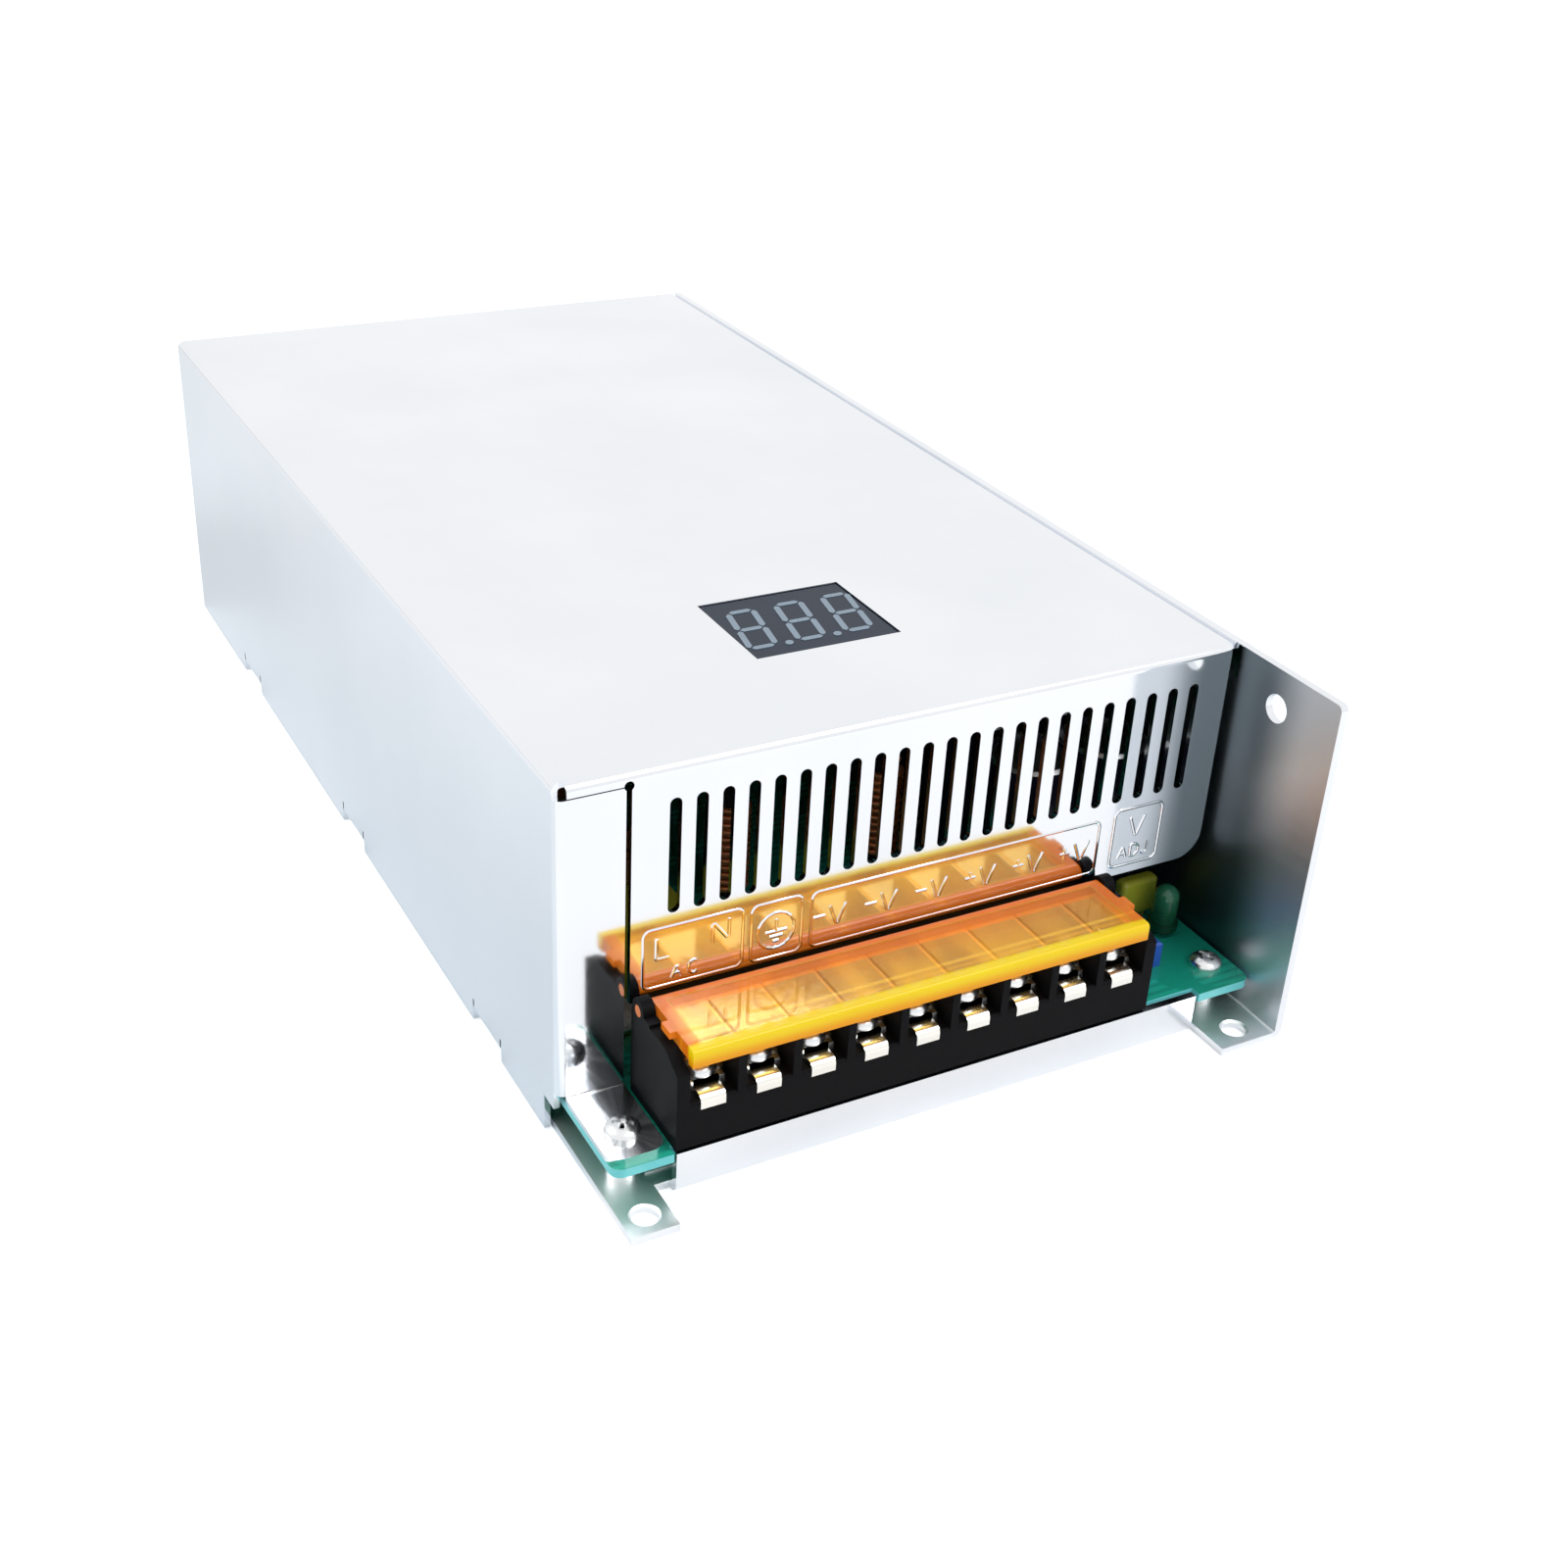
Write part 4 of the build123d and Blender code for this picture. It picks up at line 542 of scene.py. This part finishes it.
def amber_finish():
    """The whole cover: the pane, mixed by zone with its dense edges, whose bright lip is a painted
    highlight.
    """
    material, tree = finish("lid_amber")
    x, y, z = tree.place()
    low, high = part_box("terminal_cover")
    front, rear, ends = amber_zones(tree, x, y, low, high)
    streak = tree.noise(260.0, 3.0, (0.25, 1.0, 1.0))
    # Painted highlight: the lip's bright yellow, streaked and rising toward its top.
    yellow = tree.blend(streak, (1.0, 0.62, 0.0), (1.0, 0.80, 0.01))
    lip = tree.blend(tree.step(z, low.z, high.z - 0.5 * MM), (0.92, 0.34, 0.0), yellow)
    edge = tree.blend(streak, (0.85, 0.12, 0.005), (0.95, 0.26, 0.01))
    dense = coated(tree, Base_Color=tree.blend(ends.either(rear) * (1 - front), lip, edge),
                   Roughness=0.2, Specular_IOR_Level=0.3)
    share = front.either(rear * 0.7).either(ends * 0.6)
    close_finish(tree, mixed(tree, share, amber_pane(tree, streak, x, y, low, high), dense))
    return material


lid_amber = amber_finish()
print("amber finish ready")

# %% Give every solid its finish
finishes = {
    cover_metal: ["cover"],
    chassis_metal: ["chassis"],
    zinc_steel: ["mounting_nuts", "board_standoffs", "board_screws", "floor_screws", "side_screws",
                 "meter_studs", "meter_nuts", "fan_screws", "fuse_clips", "clamp_screws"]
                + [f"terminal_screw_{k}" for k in range(1, 10)],
    clear_film: ["insulating_sheet"],
    board_green: ["circuit_board", "meter_board", "control_board"],
    block_black: ["terminal_block", "fan_frame", "fan_rotor"],
    tag_plate: ["terminal_tags"],
    lid_amber: ["terminal_cover"],
    trimmer_blue: ["trimmer_body"],
    trimmer_white: ["trimmer_rotor"],
    lamp_green: ["indicator_lamp"],
    film_yellow: ["corner_film_capacitor", "line_film_capacitor"],
    display_dark: ["display_module"],
    copper_wire: ["fan_stator", "line_choke_windings", "rod_choke_windings",
                  "storage_choke_winding"],
    ferrite: ["line_choke_core", "rod_choke_cores", "transformer_core", "storage_choke_core"],
    ceramic_white: ["input_fuse"],
    ceramic_dark: ["inrush_thermistor"],
    package_black: ["bridge_rectifier", "power_packages", "drive_transformer"],
    sleeve_dark: ["bulk_capacitors", "output_capacitors"],
    winding_tape: ["transformer_winding"],
    bar_metal: ["clamp_bar"],
}
for material, names in finishes.items():
    for name in names:
        nodes[name].data.materials.clear()
        nodes[name].data.materials.append(material)
print("finished solids:", sum(len(names) for names in finishes.values()), "of", len(nodes))

# %% [markdown]
# ## Recipes for what repeats
#
# Screws, turns of wire and pressed lines could be copied by hand, but a recipe keeps the real sizes
# in sight: it is a Geometry Nodes tree with named inputs, run on a few points, and its result is
# kept as a plain mesh that rides on one body.

# %% Helpers that run a recipe
WELD = 0.001 * MM
SHARP_ABOVE = radians(35)


def recipe(name, **sizes):
    """A new Geometry Nodes group with named inputs, given as socket type and default value."""
    group = bpy.data.node_groups.new(name, "GeometryNodeTree")
    group.interface.new_socket("Geometry", in_out="INPUT", socket_type="NodeSocketGeometry")
    for key, (kind, item) in sizes.items():
        socket = group.interface.new_socket(key, in_out="INPUT", socket_type="NodeSocket" + kind)
        if item is not None:
            socket.default_value = item
    group.interface.new_socket("Geometry", in_out="OUTPUT", socket_type="NodeSocketGeometry")
    tree = Tree(group)
    return tree, {key: tree.node("NodeGroupInput", out=key) for key in ["Geometry", *sizes]}


def serve(tree, geometry, material):
    """End a recipe: make instances real and give them their material."""
    real = tree.node("GeometryNodeRealizeInstances", None, {"Geometry": geometry})
    dressed = tree.node("GeometryNodeSetMaterial", None, {"Geometry": real, "Material": material})
    tree.node("NodeGroupOutput", None, {"Geometry": dressed})


def keep(piece, body):
    """Smooth a finished piece, keep its sharp edges, and let it ride on a body."""
    mesh = piece.data
    mesh.polygons.foreach_set("use_smooth", [True] * len(mesh.polygons))
    mesh.set_sharp_from_angle(angle=SHARP_ABOVE)
    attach(piece, body)
    return piece


def grow(name, tree, points, body, slot, edges=(), **sizes):
    """Run a recipe on points, and keep the result as a plain mesh."""
    seeds = bpy.data.meshes.new(name + "_seeds")
    seeds.from_pydata(points, edges, [])
    piece = bpy.data.objects.new(name, seeds)
    bpy.context.scene.collection.objects.link(piece)
    modifier = piece.modifiers.new("recipe", "NODES")
    modifier.node_group = tree.data
    for item in tree.data.interface.items_tree:
        if item.in_out == "INPUT" and item.name in sizes:
            modifier[item.identifier] = sizes[item.name]
    view = bpy.context.evaluated_depsgraph_get()
    piece.data = bpy.data.meshes.new_from_object(piece.evaluated_get(view))
    piece.data.name = name
    piece.modifiers.clear()
    bpy.data.meshes.remove(seeds)
    return keep(piece, body)


def built(name, points, faces, material=None):
    """A plain mesh object from points and faces, with faces turned outward."""
    mesh = bpy.data.meshes.new(name)
    mesh.from_pydata(points, [], faces)
    shape = bmesh.new()
    shape.from_mesh(mesh)
    bmesh.ops.remove_doubles(shape, verts=shape.verts, dist=WELD)
    bmesh.ops.recalc_face_normals(shape, faces=shape.faces)
    shape.to_mesh(mesh)
    shape.free()
    if material:
        mesh.materials.append(material)
    piece = bpy.data.objects.new(name, mesh)
    bpy.context.scene.collection.objects.link(piece)
    return piece


def turned(profile, steps=32):
    """Points and faces of a shape turned round Z from a list of (radius, height) in mm."""
    points = [(r * cos(2 * pi * k / steps) * MM, r * sin(2 * pi * k / steps) * MM, h * MM)
              for k in range(steps) for r, h in profile]
    rows = len(profile)
    faces = [(k * rows + i, (k + 1) % steps * rows + i, (k + 1) % steps * rows + i + 1,
              k * rows + i + 1) for k in range(steps) for i in range(rows - 1)]
    return points, faces


def slab(low, high):
    """Points and faces of a box between two corners in mm."""
    points = [(x * MM, y * MM, z * MM) for x in (low[0], high[0]) for y in (low[1], high[1])
              for z in (low[2], high[2])]
    return points, [(0, 1, 3, 2), (4, 6, 7, 5), (0, 4, 5, 1), (2, 3, 7, 6), (0, 2, 6, 4),
                    (1, 5, 7, 3)]


def together(*shapes):
    """Several (points, faces) as one."""
    points, faces = [], []
    for more_points, more_faces in shapes:
        faces += [tuple(k + len(points) for k in face) for face in more_faces]
        points += more_points
    return points, faces


def loose_parts(name):
    """Boxes of the separate solids of one CAD node, as (lowest, highest) corners."""
    shape = bmesh.new()
    shape.from_mesh(nodes[name].data)
    bmesh.ops.remove_doubles(shape, verts=shape.verts, dist=WELD)
    left, boxes = set(shape.verts), []
    while left:
        found = {left.pop()}
        fresh = list(found)
        while fresh:
            near = [e.other_vert(v) for v in fresh for e in v.link_edges]
            fresh = [v for v in set(near) if v in left]
            left.difference_update(fresh)
            found.update(fresh)
        corners = [[v.co[k] for v in found] for k in range(3)]
        boxes.append((Vector([min(c) for c in corners]), Vector([max(c) for c in corners])))
    shape.free()
    return sorted(boxes, key=lambda box: tuple(box[0]))


print("board screws found:", len(loose_parts("board_screws")))

# %% [markdown]
# ## Screws
#
# Each screw head has a cross recess cut with a real boolean, turned at random as a hand would leave
# it. A painted cross would do from afar, but light falls into a real one. Plain screws turn whole;
# a terminal screw turns only its recess, because its clamp plate stands square in its cavity.

# %% Recipe of a set of screws
screw_recipe, given = recipe("screw_set", Screw=("Object", None),
                             Recess_Length=("Float", 3.0 * MM), Recess_Width=("Float", 0.8 * MM),
                             Recess_Depth=("Float", 1.0 * MM), Recess_Turn=("Float", 0.0),
                             Free_Turn=("Float", pi / 2), Outward=("Vector", (0.0, 0.0, 1.0)),
                             Seed=("Int", 4))
tree = screw_recipe
body_shape = tree.node("GeometryNodeObjectInfo", None, {"Object": given["Screw"]}, out="Geometry")
bars = []
for turn in (0.0, pi / 2):
    size = tree.node("ShaderNodeCombineXYZ", None, {"X": given["Recess_Length"],
                     "Y": given["Recess_Width"], "Z": given["Recess_Depth"] * 2.0})
    bar = tree.node("GeometryNodeMeshCube", None, {"Size": size}, out="Mesh")
    angles = tree.node("ShaderNodeCombineXYZ", None, {"Z": given["Recess_Turn"] + turn})
    bars.append(tree.node("GeometryNodeTransform", None, {"Geometry": bar, "Rotation": angles}))
cut = tree.node("GeometryNodeMeshBoolean", {"operation": "DIFFERENCE"},
                {"Mesh 1": body_shape, "Mesh 2": bars[0]}, out="Mesh")
cut = tree.node("GeometryNodeMeshBoolean", {"operation": "DIFFERENCE"},
                {"Mesh 1": cut, "Mesh 2": bars[1]}, out="Mesh")
facing = tree.node("FunctionNodeAlignRotationToVector", {"axis": "Z"},
                   {"Vector": given["Outward"]})
chance = tree.node("FunctionNodeRandomValue", {"data_type": "FLOAT"},
                   {"Min": 0.0, "Max": given["Free_Turn"], "Seed": given["Seed"]})
spin = tree.node("FunctionNodeAxisAngleToRotation", None, {"Axis": (0.0, 0.0, 1.0),
                                                          "Angle": chance})
pose = tree.node("FunctionNodeRotateRotation", {"rotation_space": "LOCAL"},
                 {"Rotation": facing, "Rotate By": spin})
placed = tree.node("GeometryNodeInstanceOnPoints", None,
                   {"Points": given["Geometry"], "Instance": cut, "Rotation": pose})
serve(tree, placed, zinc_steel)
print("screw recipe has", len(tree.data.nodes), "nodes")

# %% Case, clamp, board and fan screws
def screw_set(node, profile, outward, recess):
    """Replace the plain screws of a CAD node; their head tops lie on the outward side."""
    outward = Vector(outward)
    tops = []
    for low, high in loose_parts(node):
        half = (high - low) / 2
        reach_out = Vector([half[k] * outward[k] for k in range(3)])
        tops.append((low + high) / 2 + reach_out)
    unit = built(node + "_unit", *turned(profile))
    length, width, depth = recess
    piece = grow(node + "_crossed", screw_recipe, tops, "case", "zinc_steel", Screw=unit,
                 Recess_Length=length * MM, Recess_Width=width * MM, Recess_Depth=depth * MM,
                 Outward=outward, Seed=len(tops))
    bpy.data.objects.remove(unit)
    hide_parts(node)
    print(node, "heads:", len(tops))


def pan_head(radius, height, shank, length):
    """Head with its top at zero; its dome takes three quarters of its height."""
    steps = 8
    dome = [(radius * sin(a), height * 0.75 * (cos(a) - 1)) for a in
            [pi / 2 * k / steps for k in range(steps + 1)]]
    return dome + [(radius, -height), (shank, -height), (shank, -length), (0, -length)]


def flat_head(radius, shank, length):
    """Countersunk head with its top at zero and a small chamfer round its rim."""
    chamfer, rim = 0.1, 0.12
    return [(0, 0), (radius - chamfer, 0), (radius, -rim), (shank, -rim - (radius - shank)),
            (shank, -length), (0, -length)]


outward_sides = {"side_screws": (1, 0, 0), "clamp_screws": (1, 0, 0), "floor_screws": (0, 0, -1),
                 "fan_screws": (0, 1, 0), "board_screws": (0, 0, 1)}
for node, outward in outward_sides.items():
    low, high = loose_parts(node)[0]
    spans = [(high - low)[k] / MM for k in range(3)]
    length = max(abs(a) * b for a, b in zip(outward, spans))
    radius = min(b for a, b in zip(outward, spans) if not a) / 2
    if node == "board_screws":
        profile = pan_head(radius, height=2.0, shank=1.5, length=length)
    else:
        profile = flat_head(radius, shank=radius * 0.55, length=length)
    recess_length, recess_width, recess_depth = radius * 1.15, 0.75, 1.1
    screw_set(node, profile, outward, (recess_length, recess_width, recess_depth))

# %% Terminal screws with their clamp plates
def terminal_screw(number):
    """One screw and the clamp plate under its head, which travels with it."""
    name = f"terminal_screw_{number}"
    low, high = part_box(name)
    head_height, plate_thickness, head_margin = 2.2, 0.9, 0.1
    radius = (high.y - low.y) / MM / 2 - head_margin
    length = (high.z - low.z) / MM
    plate_top, plate_bottom = -head_height, -head_height - plate_thickness
    plate = slab((-3.1, -3.0, plate_bottom), (3.1, 3.0, plate_top))
    wings = slab((-3.6, -1.4, plate_bottom - 0.3), (3.6, 1.4, plate_top + 0.25))
    claw = slab((-2.2, -3.0, plate_bottom - 0.9), (2.2, -2.5, plate_top))
    screw = turned(pan_head(radius, head_height, shank=1.5, length=length))
    unit = built(name + "_unit", *together(screw, plate, wings, claw))
    top = ((low.x + high.x) / 2, (low.y + high.y) / 2, high.z)
    piece = grow(name + "_crossed", screw_recipe, [top], name, "zinc_steel", Screw=unit,
                 Recess_Length=4.4 * MM, Recess_Width=0.9 * MM, Recess_Depth=1.3 * MM,
                 Recess_Turn=Random(number).uniform(0, pi / 2), Free_Turn=0.0)
    bpy.data.objects.remove(unit)
    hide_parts(name)


terminal_count = 9
for number in range(1, terminal_count + 1):
    terminal_screw(number)
print("terminal screws:", terminal_count)

# %% [markdown]
# ## Turns of copper wire
#
# Behind the third and the ninth louvre stand two upright chokes. A striped cylinder could stand for
# them, but the louvres show single turns, so each winding is a true helix of round wire.

# %% Recipe of a helical winding
winding_recipe, given = recipe("winding", Turns=("Float", 12.0), Radius=("Float", 3.5 * MM),
                               Height=("Float", 18.0 * MM), Wire=("Float", 1.3 * MM))
tree = winding_recipe
helix = tree.node("GeometryNodeCurveSpiral", None,
                  {"Resolution": 40, "Rotations": given["Turns"], "Start Radius": given["Radius"],
                   "End Radius": given["Radius"], "Height": given["Height"]})
section = tree.node("GeometryNodeCurvePrimitiveCircle", None,
                    {"Resolution": 12, "Radius": given["Wire"] * 0.5}, out="Curve")
wire = tree.node("GeometryNodeCurveToMesh", None,
                 {"Curve": helix, "Profile Curve": section, "Fill Caps": True})
placed = tree.node("GeometryNodeInstanceOnPoints", None,
                   {"Points": given["Geometry"], "Instance": wire})
serve(tree, placed, copper_wire)

wire_width, turn_spacing = 1.3 * MM, 1.1
coils = loose_parts("rod_choke_windings")
coil_low, coil_high = coils[0]
outer = (coil_high.x - coil_low.x) / 2
rise = coil_high.z - coil_low.z - wire_width
turns = round(rise / wire_width / turn_spacing)
bases = [((low.x + high.x) / 2, (low.y + high.y) / 2, low.z + wire_width / 2)
         for low, high in coils]
rods = grow("rod_choke_turns", winding_recipe, bases, "case", "copper_wire",
            Turns=turns, Radius=outer - wire_width / 2, Height=rise, Wire=wire_width)
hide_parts("rod_choke_windings")
print("chokes:", len(bases), "turns each:", turns)

# %% [markdown]
# ## Pressed frames and marks
#
# The panel carries plain frames and marks pressed out of the sheet, one group for each set of
# terminals. A printed label would be flat. Here every stroke is a round ridge half sunk in the
# panel, so it catches light on one side as the real ridge does. Places are given in mm, from the
# left side of the case and from the table.

# %% Recipe of pressed lines
line_recipe, given = recipe("pressed_lines", Width=("Float", 0.5 * MM), Bend=("Float", 0.5 * MM))
tree = line_recipe
route = tree.node("GeometryNodeMeshToCurve", None, {"Mesh": given["Geometry"]})
route = tree.node("GeometryNodeFilletCurve", {"mode": "POLY"},
                  {"Curve": route, "Count": 6, "Radius": given["Bend"], "Limit Radius": True})
section = tree.node("GeometryNodeCurvePrimitiveCircle", None,
                    {"Resolution": 10, "Radius": given["Width"] * 0.5}, out="Curve")
ridge = tree.node("GeometryNodeCurveToMesh", None,
                  {"Curve": route, "Profile Curve": section, "Fill Caps": True})
serve(tree, ridge, cover_metal)

# %% Frames and marks on the panel
gap_behind_block = 0.8 * MM
panel_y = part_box("terminal_block")[1].y + gap_behind_block
panel_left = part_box("cover")[0].x


def strokes(lines, sunk):
    """Points and edges of strokes, sunk in the panel, from lists of (x, z) in mm."""
    points, edges = [], []
    for line in lines:
        closed = line[0] == line[-1]
        spots = line[:-1] if closed else line
        start = len(points)
        points += [(panel_left + x * MM, panel_y + sunk * MM, z * MM) for x, z in spots]
        edges += [(start + k, start + k + 1) for k in range(len(spots) - 1)]
        if closed:
            edges.append((start + len(spots) - 1, start))
    return points, edges


def sign(form, left, bottom, height):
    """Strokes of one mark, drawn in a box one unit high."""
    return [[(left + x * height, bottom + z * height) for x, z in line] for line in form]


round_c = [(0.36 + 0.36 * cos(radians(a)), 0.5 + 0.5 * sin(radians(a))) for a in
           range(45, 316, 27)]
forms = {
    "L": [[(0, 1), (0, 0), (0.55, 0)]],
    "N": [[(0, 0), (0, 1), (0.75, 0), (0.75, 1)]],
    "A": [[(0, 0), (0.38, 1), (0.76, 0)], [(0.15, 0.36), (0.61, 0.36)]],
    "C": [round_c],
    "V": [[(0, 1), (0.38, 0), (0.76, 1)]],
    "D": [[(0, 0), (0, 1), (0.4, 1), (0.72, 0.7), (0.72, 0.3), (0.4, 0), (0, 0)]],
    "J": [[(0.5, 1), (0.5, 0.2), (0.35, 0), (0.12, 0), (0, 0.22)]],
    "minus": [[(0, 0.55), (0.55, 0.55)]],
    "plus": [[(0, 0.55), (0.55, 0.55)], [(0.275, 0.27), (0.275, 0.83)]],
    "earth": [[(0.5, 0.95), (0.5, 0.5)], [(0.12, 0.5), (0.88, 0.5)], [(0.27, 0.32), (0.73, 0.32)],
              [(0.4, 0.14), (0.6, 0.14)]],
}
frame_bottom = 26.1
frames = [[(left, frame_bottom), (right, frame_bottom), (right, top), (left, top),
           (left, frame_bottom)]
          for left, right, top in ((14.15, 31.2, 36.8), (32.7, 41.65, 36.5), (43.4, 99.1, 36.3),
                                   (102.2, 112.2, 37.4))]
marks = sign(forms["L"], 16.4, 31.2, 3.8) + sign(forms["A"], 19.0, 27.2, 2.4)
marks += sign(forms["C"], 21.9, 27.2, 2.4) + sign(forms["N"], 25.9, 31.8, 3.8)
marks += sign(forms["earth"], 34.6, 28.4, 5.0)
ring_x, ring_z, ring_radius = 37.1, 31.1, 3.3
marks += [[(ring_x + ring_radius * cos(radians(a)), ring_z + ring_radius * sin(radians(a)))
           for a in [*range(0, 360, 20), 0]]]
first_output, pitch, poles = 46.65, 9.5, ["minus"] * 3 + ["plus"] * 3
for k, pole in enumerate(poles):
    centre = first_output + k * pitch
    marks += sign(forms[pole], centre - 2.9, 29.4, 3.8)
    marks += sign(forms["V"], centre + 0.1, 29.2, 3.8)
marks += sign(forms["V"], 105.6, 31.4, 4.0) + sign(forms["A"], 103.9, 27.6, 2.3)
marks += sign(forms["D"], 106.5, 27.6, 2.3) + sign(forms["J"], 109.0, 27.6, 2.3)
points, edges = strokes(frames, sunk=0.24)
grow("pressed_frames", line_recipe, points, "case", "case_metal", edges=edges,
     Width=0.8 * MM, Bend=1.2 * MM)
points, edges = strokes(marks, sunk=0.26)
grow("pressed_marks", line_recipe, points, "case", "case_metal", edges=edges, Width=0.85 * MM,
     Bend=0.25 * MM)
print("pressed strokes:", len(frames), "frames and", len(marks), "lines of marks")

# %% [markdown]
# ## Display digits
#
# The window shows three unlit figures of seven segments each and two points. They lean a little, as
# such figures do, and lie as thin plates on the dark face.

# %% Display digits
segment_grey, tree = finish("segment_grey")
cloud = tree.noise(300.0, 2.0)
close_finish(tree, coated(tree, Base_Color=tree.blend(cloud, (0.22, 0.29, 0.37), (0.28, 0.36, 0.44)),
                          Roughness=tree.between(cloud, 0.35, 0.5)))
face_low, face_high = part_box("display_module")
face_middle = (face_low + face_high) / 2
digit_pitch, digit_height, digit_width, bar_width, notch = 9.05, 14.6, 5.8, 1.1, 0.25
row_shift, dot_right, dot_low, dot_radius, dot_corners = 0.2, 3.4, -7.0, 0.75, 20
lean = radians(11)


def plate(outline, middle_x, middle_y):
    """Thin plate on the display's face from an outline in mm, leaning with the figures."""
    thick = 0.08 * MM
    spots = [(face_middle.x + (middle_x + x + y * sin(lean)) * MM,
              face_middle.y + (middle_y + y) * MM) for x, y in outline]
    count = len(spots)
    points = [(x, y, face_high.z) for x, y in spots] + [(x, y, face_high.z + thick)
                                                        for x, y in spots]
    sides = [(k, (k + 1) % count, (k + 1) % count + count, k + count) for k in range(count)]
    return points, sides + [tuple(range(count)), tuple(range(count, 2 * count))]


def bar_outline(x, y, length, upright):
    """Six-cornered segment centred at x, y."""
    half, side = length / 2 - notch, bar_width / 2
    spots = [(-half, 0), (-half + side, -side), (half - side, -side), (half, 0),
             (half - side, side), (-half + side, side)]
    return [(x + (b if upright else a), y + (a if upright else b)) for a, b in spots]


plates = []
for k in (-1, 0, 1):
    centre = k * digit_pitch + row_shift
    arm = digit_width - bar_width
    leg = (digit_height - bar_width) / 2
    for level in (-1, 0, 1):
        plates.append(plate(bar_outline(0, level * leg, arm, False), centre, 0.0))
    for side in (-1, 1):
        for level in (-0.5, 0.5):
            plates.append(plate(bar_outline(side * arm / 2, level * leg, leg, True), centre, 0.0))
around = [2 * pi * k / dot_corners for k in range(dot_corners)]
dot = [(dot_radius * cos(a), dot_radius * sin(a)) for a in around]
plates += [plate(dot, k * digit_pitch + row_shift + dot_right, dot_low) for k in (-1, 0)]
digits = built("display_digits", *together(*plates), material=segment_grey)
keep(digits, "case")
print("segments and points:", len(plates))
